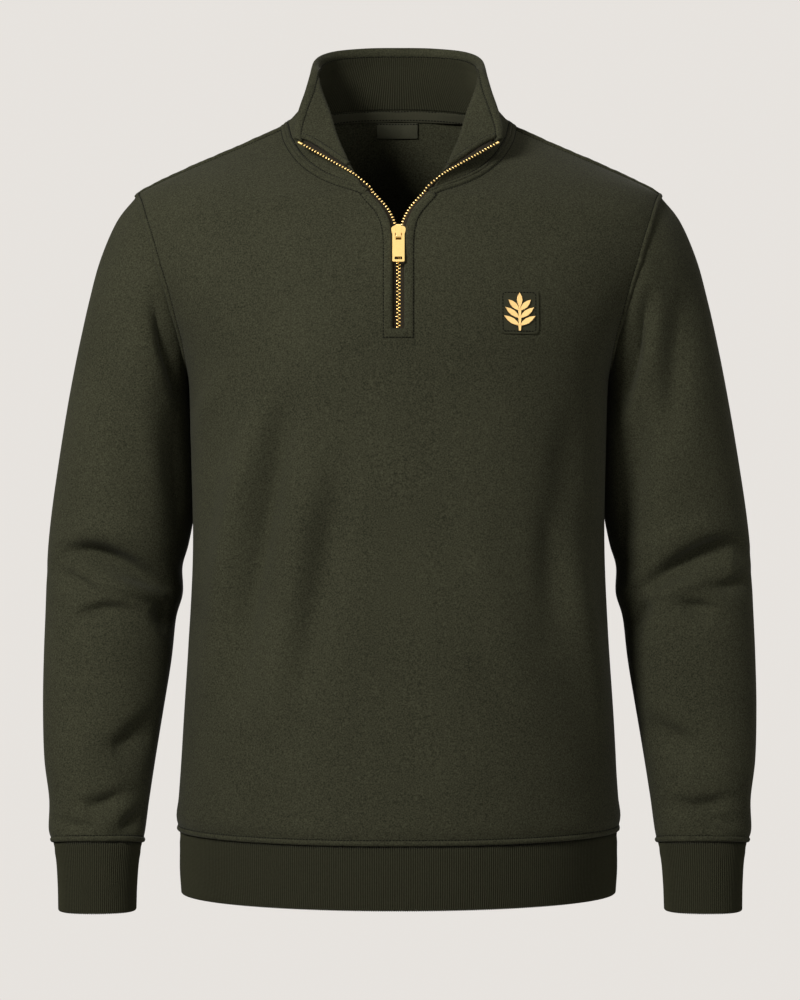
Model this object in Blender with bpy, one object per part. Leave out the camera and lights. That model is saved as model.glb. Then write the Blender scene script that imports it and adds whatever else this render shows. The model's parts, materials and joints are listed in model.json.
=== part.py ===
"""A men's quarter zip sweatshirt, hollow and filled out as if worn, with nobody in it.

Frame: +Z up, the front faces -Y, +X is the wearer's left. The origin is the middle of the neck
opening, level with the high points of the shoulders. Blender's unit is the metre, and the
dimensions and tables below are in millimetres, turned into metres by MM where they are read.

The cloth is one surface, made of structured grids that share their seam points: two body panels,
two sleeves, cuffs, a hem band and a collar. The surface is creased, then cut apart along the seams,
and each piece gets a wall whose rims are mitred where two pieces meet at an angle. What lies on a
panel (patch, label, tapes) is made from the panel's own points, moved out.
"""

import math

import bmesh
import bpy
import numpy as np
from mathutils import Matrix, Vector
from mathutils.bvhtree import BVHTree

MM = 0.001
IN_FRONT_Y = -400.0

# Driving dimensions, in millimetres.
CLOTH_WALL = 2.2
RIB_WALL = 2.6
COLLAR_WALL = 1.8
SEAM_GAP = 0.5
SLIT_HALF_WIDTH = 6.0
SLIT_BOTTOM_ROW = 3
HEM_SEAM_Z = -632.0
HEM_BOTTOM_Z = -688.5
UNDERARM_Z = -232.0
CUFF_SEAM_Z = -640.0
CUFF_BOTTOM_Z = -700.0

# Two diagonals of one quad closer than this count as equal.
SAME_LENGTH = 0.01

# At a sharp seam the wall's rims reach up to this many half walls from the middle of the cloth.
MOST_MITRE = 3.0

# How finely each grid is cut.
HALF_PANEL_COLUMNS = 9
ROW_SAMPLES = 80
BODY_ROWS = 14
BODY_ROW_CROWDING = 1.2
NECK_ROWS_FRONT = 7
NECK_ROWS_BACK = 5
SLEEVE_RINGS = 27
CUFF_RINGS = 3
HEM_RINGS = 3
STAND_STEPS = 4
LEAF_STEPS = 4
PATCH_COLUMNS = 6
PATCH_ROWS = 7
LABEL_COLUMNS = 6
LABEL_ROWS = 3
NECK_TAPE_STEPS = 3

# Body below the underarms, as level sections: a superellipse with its own front and back depth.
BODY_SECTIONS = (
    # height, half_width, front_depth, back_depth, squareness
    (-632.0, 195.5, 137.5, 123.0, 1.95),
    (-622.0, 198.3, 140.5, 126.0, 1.98),
    (-604.0, 196.6, 141.0, 126.0, 2.05),
    (-585.0, 195.1, 140.5, 125.0, 2.12),
    (-530.0, 191.6, 139.0, 121.0, 2.22),
    (-450.0, 186.6, 138.0, 114.0, 2.35),
    (-372.0, 183.6, 137.5, 110.5, 2.45),
    (-300.0, 184.6, 138.5, 114.0, 2.50),
    (-232.0, 186.5, 139.0, 121.0, 2.50),
)

# Front above the underarms: each row runs from the armhole to the slit, and past it to the neckline.
FRONT_ROWS = (
    # armhole_x, armhole_y, armhole_z, centre_x, centre_y, centre_z, start_angle, squareness, arch
    (-186.5, 0.0, -232.0, -6.0, -139.0, -240.0, 0.0, 2.50, 0.0),
    (-187.5, -20.0, -224.0, -6.0, -138.5, -222.0, 5.5, 2.50, 0.0),
    (-189.5, -36.0, -209.0, -6.0, -137.5, -206.0, 11.5, 2.50, 0.0),
    (-193.0, -49.0, -191.0, -6.0, -135.5, -190.0, 17.0, 2.48, 0.0),
    (-198.5, -59.5, -172.0, -6.0, -131.5, -163.0, 22.5, 2.45, 0.0),
    (-204.5, -66.0, -151.0, -6.0, -126.0, -134.0, 27.0, 2.42, 0.0),
    (-211.0, -66.5, -132.0, -6.6, -118.0, -106.0, 29.5, 2.40, 0.0),
    (-218.0, -59.5, -110.0, -14.0, -108.0, -87.0, 29.0, 2.35, 0.0),
    (-225.0, -46.0, -90.0, -29.5, -98.0, -68.5, 25.5, 2.30, 2.0),
    (-229.5, -31.0, -77.0, -62.0, -79.0, -54.5, 20.5, 2.25, 5.0),
    (-233.0, -15.0, -69.0, -83.0, -58.0, -38.5, 14.0, 2.20, 8.0),
    (-235.0, -5.0, -65.0, -96.0, -29.0, -18.5, 9.0, 2.10, 10.0),
    (-235.5, 4.0, -64.0, -101.5, 0.0, 0.0, 6.0, 2.00, 10.5),
)
SLIDER_ROW = 6
FRONT_NECK_ROW = 8
SHOULDER_ROW = 12

# Back above the underarms: rows from the armhole to the centre back, and past it to the neckline.
BACK_ROWS = (
    # armhole_x, armhole_y, armhole_z, centre_x, centre_y, centre_z, start_angle, squareness, arch
    (-186.5, 0.0, -232.0, 0.0, 121.0, -236.0, 0.0, 2.50, 0.0),
    (-188.0, 20.0, -225.0, 0.0, 121.5, -211.0, 6.5, 2.50, 0.0),
    (-190.5, 37.0, -211.0, 0.0, 122.0, -185.0, 13.5, 2.50, 0.0),
    (-194.5, 51.0, -193.0, 0.0, 121.0, -158.0, 20.5, 2.48, 0.0),
    (-200.0, 62.0, -172.0, 0.0, 118.0, -130.0, 27.0, 2.45, 0.0),
    (-206.0, 67.5, -151.0, 0.0, 113.0, -101.0, 32.0, 2.42, 0.0),
    (-212.0, 67.5, -131.0, 0.0, 106.0, -71.0, 35.0, 2.38, 0.0),
    (-218.5, 61.0, -111.0, 0.0, 96.5, -40.0, 35.5, 2.32, 0.0),
    (-225.0, 50.0, -93.0, 0.0, 84.5, -8.0, 33.0, 2.25, 3.0),
    (-230.0, 37.0, -80.0, 0.0, 72.0, 24.0, 28.5, 2.20, 6.0),
    (-233.0, 24.0, -71.5, -50.0, 62.5, 21.0, 21.0, 2.15, 9.0),
    (-235.0, 13.5, -66.5, -86.0, 36.0, 12.0, 14.0, 2.10, 10.5),
    (-235.5, 4.0, -64.0, -101.5, 0.0, 0.0, 6.0, 2.00, 10.5),
)
BACK_NECK_ROW = 9

# Sleeve rings, from the armhole to the cuff seam. Outer and inner are where a ring's long axis meets
# the silhouette, away from the body and next to it.
SLEEVE_SECTIONS = (
    # outer_x, outer_z, inner_x, inner_z, centre_y, half_depth, squareness
    (-235.5, -64.0, -186.5, -232.0, 2.0, 68.0, 2.1),
    (-252.5, -86.0, -192.2, -236.5, 2.0, 71.5, 2.1),
    (-267.5, -121.0, -194.2, -247.0, 3.0, 73.0, 2.1),
    (-277.5, -158.0, -194.0, -261.0, 4.0, 72.5, 2.1),
    (-285.0, -191.0, -192.2, -277.0, 5.0, 71.0, 2.1),
    (-292.0, -225.0, -190.4, -296.0, 6.5, 69.0, 2.1),
    (-298.5, -260.0, -188.8, -317.0, 8.0, 66.5, 2.1),
    (-305.2, -300.0, -187.9, -345.0, 9.5, 62.5, 2.1),
    (-311.5, -342.0, -191.0, -375.0, 10.0, 58.5, 2.1),
    (-315.2, -376.0, -196.8, -396.0, 9.0, 56.5, 2.1),
    (-316.6, -405.0, -196.4, -420.0, 6.5, 55.5, 2.1),
    (-317.2, -432.0, -202.2, -442.0, 2.5, 53.5, 2.1),
    (-318.2, -475.0, -206.0, -479.0, -5.0, 49.5, 2.1),
    (-318.3, -520.0, -212.2, -520.0, -12.5, 46.0, 2.1),
    (-316.4, -566.0, -219.2, -565.0, -20.0, 42.5, 2.1),
    (-311.6, -602.0, -224.3, -600.0, -25.0, 39.5, 2.1),
    (-311.6, -629.0, -228.0, -629.0, -29.0, 37.5, 2.1),
    (-307.6, -640.0, -230.6, -640.0, -30.5, 34.0, 2.1),
)
# The section by which the armhole's own shape has faded from the rings.
ARMHOLE_FADE_SECTION = 7
# Rise of the cuff's seam for each millimetre forward, and how many sections it takes to fade.
CUFF_SEAM_TILT = 0.13
CUFF_TILT_SECTIONS = 3

# Cuff below its seam: the ring shrinks towards the wrist and its centre moves a little forward.
CUFF_SECTIONS = (
    # height, width_share, depth_share, shift_y
    (-640.0, 1.00, 1.00, 0.0),
    (-652.0, 0.93, 0.97, -0.8),
    (-675.0, 0.875, 0.94, -3.2),
    (-700.0, 0.855, 0.91, -5.5),
)

# Both sleeves swing a little to the wearer's left, further down more.
SLEEVE_SWAY = ((-250.0, 0.0), (-450.0, 0.9), (-600.0, 1.3), (-720.0, 1.6))

HEM_SECTIONS = (
    # height, width_share
    (-632.0, 1.000),
    (-645.0, 0.997),
    (-668.0, 0.997),
    (-688.5, 0.990),
)

# Collar from the centre back (0) to the zip edge (1). It stands on the neckline up to the roll, and
# its leaf falls outwards from the roll to the rim, more and more towards the front.
COLLAR_SECTIONS = (
    # share, roll_x, roll_y, roll_z, rim_x, rim_y, rim_z, stand_hollow
    (0.00, 0.0, 64.0, 69.0, 0.0, 62.0, 79.0, 1.0),
    (0.15, -31.0, 60.5, 68.0, -32.0, 59.0, 78.0, 1.5),
    (0.30, -58.5, 44.0, 62.5, -61.5, 43.0, 72.5, 3.0),
    (0.42, -70.5, 21.0, 56.0, -74.0, 19.5, 63.5, 5.5),
    (0.50, -73.0, 2.0, 51.5, -77.0, 1.0, 55.0, 7.0),
    (0.57, -71.5, -13.0, 46.0, -78.8, -14.0, 44.5, 7.0),
    (0.66, -66.0, -29.0, 27.0, -82.5, -30.0, 28.0, 6.0),
    (0.75, -59.0, -46.0, 7.0, -86.5, -40.5, 14.5, 3.0),
    (0.85, -52.5, -63.0, -17.0, -89.4, -49.0, 3.0, 1.0),
    (0.93, -44.5, -80.0, -37.5, -91.5, -57.0, -8.5, 0.0),
    (1.00, -38.0, -93.0, -51.5, -91.0, -64.0, -18.5, 0.0),
)
ROLL_ROUNDING = 6.0
MOST_ROUNDING_SHARE = 0.45
FACING_FROM_SHARE = 0.52

# Creases: troughs (depth above 0) and ridges (below 0), each an arc through three points seen square
# on from the front or the back.
CREASES = (
    # piece, side, start_x, start_z, middle_x, middle_z, end_x, end_z, depth, half_width
    ("sleeve_right", "front", -300.0, -371.0, -251.0, -381.0, -201.0, -415.0, 8.0, 10.0),
    ("sleeve_right", "front", -297.0, -391.0, -284.0, -399.0, -270.0, -410.0, 3.0, 8.0),
    ("sleeve_right", "front", -268.0, -402.0, -247.0, -409.0, -226.0, -419.0, -3.0, 9.0),
    ("sleeve_right", "front", -284.0, -437.0, -259.0, -429.0, -234.0, -435.0, 2.5, 8.0),
    ("sleeve_right", "front", -254.0, -555.0, -238.0, -547.0, -221.0, -535.0, 3.0, 11.0),
    ("sleeve_right", "front", -292.0, -604.0, -266.0, -600.0, -238.0, -590.0, 2.5, 9.0),
    ("sleeve_right", "front", -218.0, -172.0, -206.0, -232.0, -196.0, -330.0, 7.0, 11.0),
    ("sleeve_right", "back", -222.0, -175.0, -208.0, -235.0, -196.0, -320.0, 6.0, 12.0),
    ("sleeve_right", "back", -308.0, -400.0, -262.0, -384.0, -214.0, -372.0, 4.0, 12.0),
    ("sleeve_right", "back", -300.0, -455.0, -262.0, -452.0, -225.0, -438.0, 3.0, 12.0),
    ("sleeve_right", "back", -298.0, -600.0, -268.0, -606.0, -238.0, -604.0, 2.5, 9.0),
    ("sleeve_left", "front", 306.0, -367.0, 262.0, -378.0, 214.0, -412.0, 7.5, 10.0),
    ("sleeve_left", "front", 316.0, -401.0, 297.0, -407.0, 277.0, -409.0, 3.0, 8.0),
    ("sleeve_left", "front", 272.0, -400.0, 250.0, -408.0, 230.0, -418.0, -3.0, 9.0),
    ("sleeve_left", "front", 283.0, -431.0, 265.0, -427.0, 247.0, -427.0, 2.5, 8.0),
    ("sleeve_left", "front", 262.0, -548.0, 244.0, -542.0, 224.0, -541.0, 2.5, 11.0),
    ("sleeve_left", "front", 294.0, -596.0, 268.0, -602.0, 240.0, -600.0, 2.5, 9.0),
    ("sleeve_left", "front", 222.0, -170.0, 210.0, -232.0, 197.0, -330.0, 8.0, 12.0),
    ("sleeve_left", "back", 222.0, -175.0, 208.0, -235.0, 196.0, -320.0, 6.0, 12.0),
    ("sleeve_left", "back", 310.0, -390.0, 262.0, -380.0, 214.0, -380.0, 4.0, 12.0),
    ("sleeve_left", "back", 298.0, -462.0, 262.0, -454.0, 226.0, -434.0, 3.0, 12.0),
    ("sleeve_left", "back", 300.0, -606.0, 270.0, -602.0, 240.0, -598.0, 2.5, 9.0),
    ("front_panel", "front", -150.0, -372.0, -166.0, -440.0, -178.0, -510.0, 3.0, 22.0),
    ("front_panel", "front", 142.0, -345.0, 162.0, -450.0, 178.0, -560.0, 3.0, 24.0),
    ("back_panel", "back", -140.0, -330.0, -105.0, -390.0, -60.0, -430.0, -3.5, 28.0),
    ("back_panel", "back", 135.0, -350.0, 105.0, -405.0, 70.0, -450.0, -3.5, 28.0),
    ("back_panel", "back", -172.0, -245.0, -158.0, -215.0, -140.0, -190.0, 3.5, 18.0),
    ("back_panel", "back", 172.0, -245.0, 158.0, -215.0, 140.0, -190.0, 3.5, 18.0),
)
# A crease keeps this share of its depth at its ends, and fades on cloth that turns away.
CREASE_END_SHARE = 0.3
CREASE_FACING_GAIN = 1.6
CREASE_FACING_FROM = 0.35

# Trim that lies on the panels.
PATCH_CENTRE = (104.0, -174.0)
PATCH_SIZE = (33.5, 38.5)
PATCH_CORNER = 4.0
PATCH_WALL = 1.1
EMBLEM_WALL = 0.9
SPRIG_HEIGHT = 33.0
SPRIG_STEM_WIDTH = 1.6
SPRIG_LEAF_WIDTH = 4.0
SPRIG_TOP_LEAF = 4.8
LEAF_SHARES = (0.0, 0.2, 0.45, 0.72)
SPRIG_LEAVES = (
    # height, length, angle
    (-11.5, 15.0, 32.0),
    (-5.0, 14.5, 37.0),
    (1.5, 12.5, 45.0),
)
THIN_WALL = 1.0
LABEL_SIZE = (38.0, 13.5)
LABEL_TOP_Z = 12.0
LABEL_CENTRE_X = -1.2
NECK_TAPE_HEIGHT = 10.0
NECK_TAPE_BELOW_SEAM = 0.8
ZIP_TAPE_WALL = 0.8
ZIP_TAPE_MIDDLE = 3.5
ZIP_TAPE_EDGE = 0.6
PANEL_EDGE_SHARE = 0.024
ZIP_TAPE_SECTIONS = (
    # front_row, reach_under_the_panel, reach_out_of_its_edge
    (2.3, 7.0, 5.0),
    (3.0, 7.0, 5.0),
    (4.0, 7.0, 5.0),
    (5.0, 7.0, 5.0),
    (6.0, 7.0, 5.0),
    (6.5, 7.0, 4.6),
    (7.0, 7.0, 4.2),
    (7.5, 7.0, 3.6),
    (7.85, 6.0, 3.2),
)

# Zip hardware. Plates are given as length, and width at their top and bottom ends.
SLIDER_LENGTH = 13.5
SLIDER_TOP_WIDTH = 12.4
SLIDER_BOTTOM_WIDTH = 10.2
SLIDER_PLATE = 1.5
SLIDER_MOUTH = 3.2
SLIDER_WEDGE = (2.6, 4.0)
SLIDER_WEDGE_CORNER = 0.9
SLIDER_WEDGE_FROM_TOP = 0.6
SLIDER_CHAMFER = 1.0
SLIDER_SHOULDER = (0.8, 2.2)
SLIDER_CAP = (2.6, 0.8)
CROWN_LENGTH = 13.0
CROWN_WIDTH = 4.6
CROWN_RISE = 4.6
CROWN_WALL = 1.3
CROWN_ROOT = 0.5
CROWN_ROUND = (0.4, 1.4)
CROWN_INNER_CORNER = 0.6
PULL_SIZE = (10.5, 29.5)
PULL_WALL = 1.6
PULL_CORNER = 1.2
PULL_BAR = 2.0
PULL_TOP_SLOT = (6.0, 6.6)
PULL_TOP_SLOT_CORNER = 0.8
PULL_BOTTOM_SLOT = (6.6, 2.6)
PULL_BOTTOM_SLOT_CORNER = 0.6
PULL_BOTTOM_BAR = 2.2

# Colours are linear; roughness and metal complete each finish.
FINISHES = {
    "fleece": ((0.043, 0.043, 0.025), 0.92, 0.0),
    "rib_knit": ((0.032, 0.032, 0.019), 0.95, 0.0),
    "tape": ((0.050, 0.048, 0.030), 0.90, 0.0),
    "label": ((0.036, 0.036, 0.024), 0.75, 0.0),
    "zip_tape": ((0.085, 0.070, 0.050), 0.85, 0.0),
    "patch": ((0.030, 0.031, 0.018), 0.80, 0.0),
    "gold": ((0.80, 0.58, 0.24), 0.28, 1.0),
}


def clear_scene():
    for obj in list(bpy.data.objects):
        bpy.data.objects.remove(obj, do_unlink=True)


def collection_named(name, hidden=False):
    collection = bpy.data.collections.new(name)
    bpy.context.scene.collection.children.link(collection)
    collection.hide_render = hidden
    return collection


def finish(name):
    """A Principled material, made once for each finish."""
    if name in bpy.data.materials:
        return bpy.data.materials[name]
    colour, roughness, metallic = FINISHES[name]
    material = bpy.data.materials.new(name)
    material.use_nodes = True
    shader = material.node_tree.nodes["Principled BSDF"]
    shader.inputs["Base Color"].default_value = (*colour, 1.0)
    shader.inputs["Roughness"].default_value = roughness
    shader.inputs["Metallic"].default_value = metallic
    material.diffuse_color = (*colour, 1.0)
    return material


def add_object(name, mesh, collection, finish_name):
    obj = bpy.data.objects.new(name, mesh)
    mesh.materials.append(finish(finish_name))
    collection.objects.link(obj)
    return obj


# ---------------------------------------------------------------- curves and rows


def smooth(knots, values, at):
    """Values of a smooth curve through table rows, at the given positions along the knots."""
    knots = np.asarray(knots, float)
    values = np.asarray(values, float)
    at = np.atleast_1d(np.asarray(at, float))
    slopes = np.gradient(values, knots, axis=0)
    low = np.clip(np.searchsorted(knots, at, side="right") - 1, 0, len(knots) - 2)
    step = knots[low + 1] - knots[low]
    t = (at - knots[low]) / step
    shape = (-1,) + (1,) * (values.ndim - 1)
    t, step = t.reshape(shape), step.reshape(shape)
    from_low = (1 + 2 * t) * (1 - t) ** 2 * values[low] + t * (1 - t) ** 2 * step * slopes[low]
    from_high = t**2 * (3 - 2 * t) * values[low + 1] + t**2 * (t - 1) * step * slopes[low + 1]
    return from_low + from_high


def even_shares(points, shares):
    """Points at the given shares of a polyline's length."""
    lengths = np.linalg.norm(np.diff(points, axis=0), axis=1)
    along = np.concatenate([[0.0], np.cumsum(lengths)])
    targets = np.asarray(shares) * along[-1]
    return np.stack([np.interp(targets, along, points[:, axis]) for axis in range(3)], axis=1)


def panel_row(edge, centre, start_angle, squareness, arch, shares):
    """A quarter superellipse from a panel's edge to its centre, cut into even steps.

    The arch lifts it between the two, most of all near the edge.
    """
    start = math.radians(start_angle)
    angles = np.linspace(start, math.pi / 2, ROW_SAMPLES)
    power = 2.0 / squareness
    across = np.cos(angles) ** power / math.cos(start) ** power
    across[-1] = 0.0
    out = (np.sin(angles) ** power - math.sin(start) ** power) / (1.0 - math.sin(start) ** power)
    row = np.empty((len(angles), 3))
    row[:, 0] = centre[0] + (edge[0] - centre[0]) * across
    row[:, 1] = edge[1] + (centre[1] - edge[1]) * out
    rise = arch * across**2 * np.sqrt(np.maximum(1.0 - across, 0.0))
    row[:, 2] = centre[2] + (edge[2] - centre[2]) * across + rise
    return even_shares(row, shares)


def body_row(height, is_front, shares):
    """A level row below the underarm, from the side seam to the centre."""
    sections = np.array(BODY_SECTIONS)
    _, half_width, front, back, squareness = smooth(sections[:, 0], sections, height)[0]
    centre_x = -SLIT_HALF_WIDTH if is_front else 0.0
    centre_y = -front if is_front else back
    side, centre = (-half_width, 0.0, height), (centre_x, centre_y, height)
    return panel_row(side, centre, 0.0, squareness, 0.0, shares)


def half_panel(is_front):
    """The wearer's right half of a panel, as rows from the hem seam up to the shoulder seam."""
    shares = np.linspace(0.0, 1.0, HALF_PANEL_COLUMNS + 1)
    climb = np.linspace(0.0, 1.0, BODY_ROWS + 1)[:-1] ** BODY_ROW_CROWDING
    heights = HEM_SEAM_Z + (UNDERARM_Z - HEM_SEAM_Z) * climb
    rows = [body_row(height, is_front, shares) for height in heights]
    nearest_x = -SLIT_HALF_WIDTH if is_front else 0.0
    for row in table_rows(is_front):
        row[3] = min(row[3], nearest_x)
        rows.append(panel_row(row[0:3], row[3:6], *row[6:9], shares))
    return np.array(rows)


def upper_rows(is_front):
    """Where the rows above the underarm lie in their table; both panels have the same number."""
    if is_front:
        below = np.arange(FRONT_NECK_ROW)
        return np.concatenate([below, np.linspace(FRONT_NECK_ROW, SHOULDER_ROW, NECK_ROWS_FRONT + 1)])
    rest = FRONT_NECK_ROW + NECK_ROWS_FRONT - NECK_ROWS_BACK
    below = np.linspace(0, BACK_NECK_ROW, rest + 1)[:-1]
    return np.concatenate([below, np.linspace(BACK_NECK_ROW, SHOULDER_ROW, NECK_ROWS_BACK + 1)])


def table_rows(is_front):
    """The rows above the underarm.

    The centre line turns sharply where the neckline starts, so it is smoothed in two parts.
    """
    table = np.array(FRONT_ROWS if is_front else BACK_ROWS)
    neck_row = FRONT_NECK_ROW if is_front else BACK_NECK_ROW
    at = upper_rows(is_front)
    knots = np.arange(len(table))
    rows = smooth(knots, table, at)
    below = at < neck_row
    lower, upper = slice(None, neck_row + 1), slice(neck_row, None)
    rows[below, 3:6] = smooth(knots[lower], table[lower, 3:6], at[below])
    rows[~below, 3:6] = smooth(knots[upper], table[upper, 3:6], at[~below])
    return rows


def mirrored(points):
    return points * np.array([-1.0, 1.0, 1.0])


def tilted(ring, share):
    """The cuff's seam sits higher in front than behind, on a slope that fades away from it."""
    rise = CUFF_SEAM_TILT * share * (ring[:, 1].mean() - ring[:, 1])
    return ring + rise[:, None] * np.array([0.0, 0.0, 1.0])


def swayed(points):
    height, shift = zip(*SLEEVE_SWAY[::-1])
    return points + np.interp(points[..., 2], height, shift)[..., None] * np.array([1.0, 0.0, 0.0])


def sleeve_rings(front, back):
    """The wearer's right sleeve: rings that start as the armhole and turn into plain sections."""
    armhole = np.concatenate([front[BODY_ROWS:, 0], back[BODY_ROWS:, 0][::-1][1:-1]])
    half = len(front) - BODY_ROWS - 1
    angles = np.arange(len(armhole)) * math.pi / half
    table = np.array(SLEEVE_SECTIONS)
    knots = np.arange(len(table))
    rings = []
    for at in np.linspace(0.0, len(table) - 1.0, SLEEVE_RINGS):
        section = smooth(knots, table, at)[0]
        ring = sleeve_ring(section, angles)
        if at < ARMHOLE_FADE_SECTION:
            fade = (1.0 - at / ARMHOLE_FADE_SECTION) ** 2
            ring += fade * (armhole - sleeve_ring(table[0], angles))
        rings.append(tilted(ring, max(0.0, 1.0 - (len(table) - 1.0 - at) / CUFF_TILT_SECTIONS)))
    return np.array(rings)


def sleeve_ring(section, angles):
    outer = np.array([section[0], section[4], section[1]])
    inner = np.array([section[2], section[4], section[3]])
    power = 2.0 / section[6]
    cosine = np.sign(np.cos(angles)) * np.abs(np.cos(angles)) ** power
    sine = np.sign(np.sin(angles)) * np.abs(np.sin(angles)) ** power
    middle = (outer + inner) / 2
    ring = middle + np.outer(cosine, (inner - outer) / 2)
    ring[:, 1] -= section[5] * sine
    return ring


def cuff_rings(seam_ring):
    """Rings under the sleeve's last one, drawn in towards the wrist."""
    centre = seam_ring.mean(axis=0)
    sections = np.array(CUFF_SECTIONS)
    rings = []
    for height, width, depth, shift in smooth(
        -sections[:, 0], sections, np.linspace(-CUFF_SEAM_Z, -CUFF_BOTTOM_Z, CUFF_RINGS + 1)
    ):
        ring = centre + (seam_ring - centre) * np.array([width, depth, 0.0])
        ring[:, 1] += shift
        ring[:, 2] = height
        rings.append(tilted(ring, (height - CUFF_BOTTOM_Z) / (CUFF_SEAM_Z - CUFF_BOTTOM_Z)))
    rings[0] = seam_ring
    return np.array(rings)


def hem_rings(seam_ring):
    sections = np.array(HEM_SECTIONS)
    rings = []
    for height, share in smooth(
        -sections[:, 0], sections, np.linspace(-HEM_SEAM_Z, -HEM_BOTTOM_Z, HEM_RINGS + 1)
    ):
        ring = seam_ring * np.array([share, share, 0.0])
        ring[:, 2] = height
        rings.append(ring)
    rings[0] = seam_ring
    return np.array(rings)


def collar_half(front, back):
    """The collar's right half: columns from the centre back to the zip edge, seam to rim."""
    front_neck = front[-NECK_ROWS_FRONT - 1 :, -1]
    back_neck = back[-NECK_ROWS_BACK - 1 :, -1]
    seam = np.concatenate([back_neck, front_neck[::-1][1:]])
    lengths = np.concatenate([[0.0], np.cumsum(np.linalg.norm(np.diff(seam, axis=0), axis=1))])
    shares = lengths / lengths[-1]
    table = np.array(COLLAR_SECTIONS)
    sections = smooth(table[:, 0], table, shares)
    columns = [
        collar_column(seam_point, section[1:4], section[4:7], section[7])
        for seam_point, section in zip(seam, sections)
    ]
    return np.array(columns), shares


def collar_column(seam, roll, rim, hollow):
    """From the seam up the hollow stand to the roll, round it, and on over the leaf to the rim."""
    stand, leaf = seam - roll, rim - roll
    stand_length, leaf_length = np.linalg.norm(stand), np.linalg.norm(leaf)
    low = roll + stand * min(ROLL_ROUNDING / stand_length, MOST_ROUNDING_SHARE)
    high = roll + leaf * min(ROLL_ROUNDING / leaf_length, MOST_ROUNDING_SHARE)
    bend = 0.25 * low + 0.5 * roll + 0.25 * high
    inward = -(seam + roll) * np.array([1.0, 1.0, 0.0])
    pull = (seam + low) / 2 + 2 * hollow * inward / np.linalg.norm(inward)
    climb = np.linspace(0.0, 1.0, STAND_STEPS + 1)[:, None]
    up = (1 - climb) ** 2 * seam + 2 * climb * (1 - climb) * pull + climb**2 * low
    down = high + (rim - high) * np.linspace(0.0, 1.0, LEAF_STEPS + 1)[:, None]
    return np.concatenate([up, [bend], down])


# ---------------------------------------------------------------- the garment as one surface


class Surface:
    """Quads of every cloth piece, with the points on their seams shared."""

    def __init__(self):
        self.points = []
        self.index = {}
        self.quads = {}

    def point(self, place):
        key = tuple(np.round(place, 4))
        if key not in self.index:
            self.index[key] = len(self.points)
            self.points.append(np.array(place, float))
        return self.index[key]

    def add_grid(self, piece, grid, closed=False, flip=False, keep=None):
        """Adds a grid of points to a piece; keep says which of its cells are cloth."""
        ids = np.array([[self.point(place) for place in row] for row in grid])
        rows, columns = ids.shape
        faces = self.quads.setdefault(piece, [])
        for row in range(rows - 1):
            for column in range(columns if closed else columns - 1):
                if keep is not None and not keep(row, column):
                    continue
                after = (column + 1) % columns
                quad = [ids[row, column], ids[row, after], ids[row + 1, after], ids[row + 1, column]]
                faces.append(quad[::-1] if flip else quad)

    def freeze(self):
        self.points = np.array(self.points)
        self.quads = {piece: np.array(faces) for piece, faces in self.quads.items()}

    def normals(self):
        """Normals shared across the seams, so that the rims of neighbouring pieces are mitred.

        Each face counts by its angle at the point, so that at the underarm the body and the sleeve
        weigh the same.
        """
        total = np.zeros_like(self.points)
        for faces in self.quads.values():
            corners = self.points[faces]
            for corner in range(4):
                here = corners[:, corner]
                after = corners[:, (corner + 1) % 4] - here
                before = corners[:, (corner + 3) % 4] - here
                upright = np.cross(after, before)
                size = np.linalg.norm(upright, axis=1)
                angle = np.arctan2(size, (after * before).sum(axis=1))
                np.add.at(total, faces[:, corner], upright * (angle / size)[:, None])
        return total / np.linalg.norm(total, axis=1, keepdims=True)


def garment_surface():
    surface = Surface()
    front = half_panel(True)
    back = half_panel(False)
    slit_cells = range(BODY_ROWS + SLIT_BOTTOM_ROW, BODY_ROWS + FRONT_NECK_ROW + NECK_ROWS_FRONT)
    whole_front = np.concatenate([front, mirrored(front)[:, ::-1]], axis=1)
    surface.add_grid(
        "front_panel",
        whole_front,
        keep=lambda row, column: column != HALF_PANEL_COLUMNS or row not in slit_cells,
    )
    surface.add_grid("back_panel", back, flip=True)
    surface.add_grid("back_panel", mirrored(back))

    sleeve = sleeve_rings(front, back)
    cuff = cuff_rings(sleeve[-1])
    surface.add_grid("sleeve_right", swayed(sleeve), closed=True)
    surface.add_grid("sleeve_left", swayed(mirrored(sleeve)), closed=True, flip=True)
    surface.add_grid("cuff_right", swayed(cuff), closed=True)
    surface.add_grid("cuff_left", swayed(mirrored(cuff)), closed=True, flip=True)

    hem_seam = np.concatenate([whole_front[0], mirrored(back[0])[1:], back[0][::-1][1:-1]])
    surface.add_grid("hem_band", hem_rings(hem_seam), closed=True, flip=True)

    collar, shares = collar_half(front, back)
    whole_collar = np.concatenate([collar[::-1], mirrored(collar)[1:]])
    surface.add_grid("collar", whole_collar)
    surface.freeze()
    return surface, front, back, shares


def arc_through(start, middle, end, count=25):
    """A parabola's points through three points, and where along it each lies."""
    along = np.linspace(0.0, 1.0, count)[:, None]
    pull = 2 * middle - (start + end) / 2
    return (1 - along) ** 2 * start + 2 * along * (1 - along) * pull + along**2 * end, along[:, 0]


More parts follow.
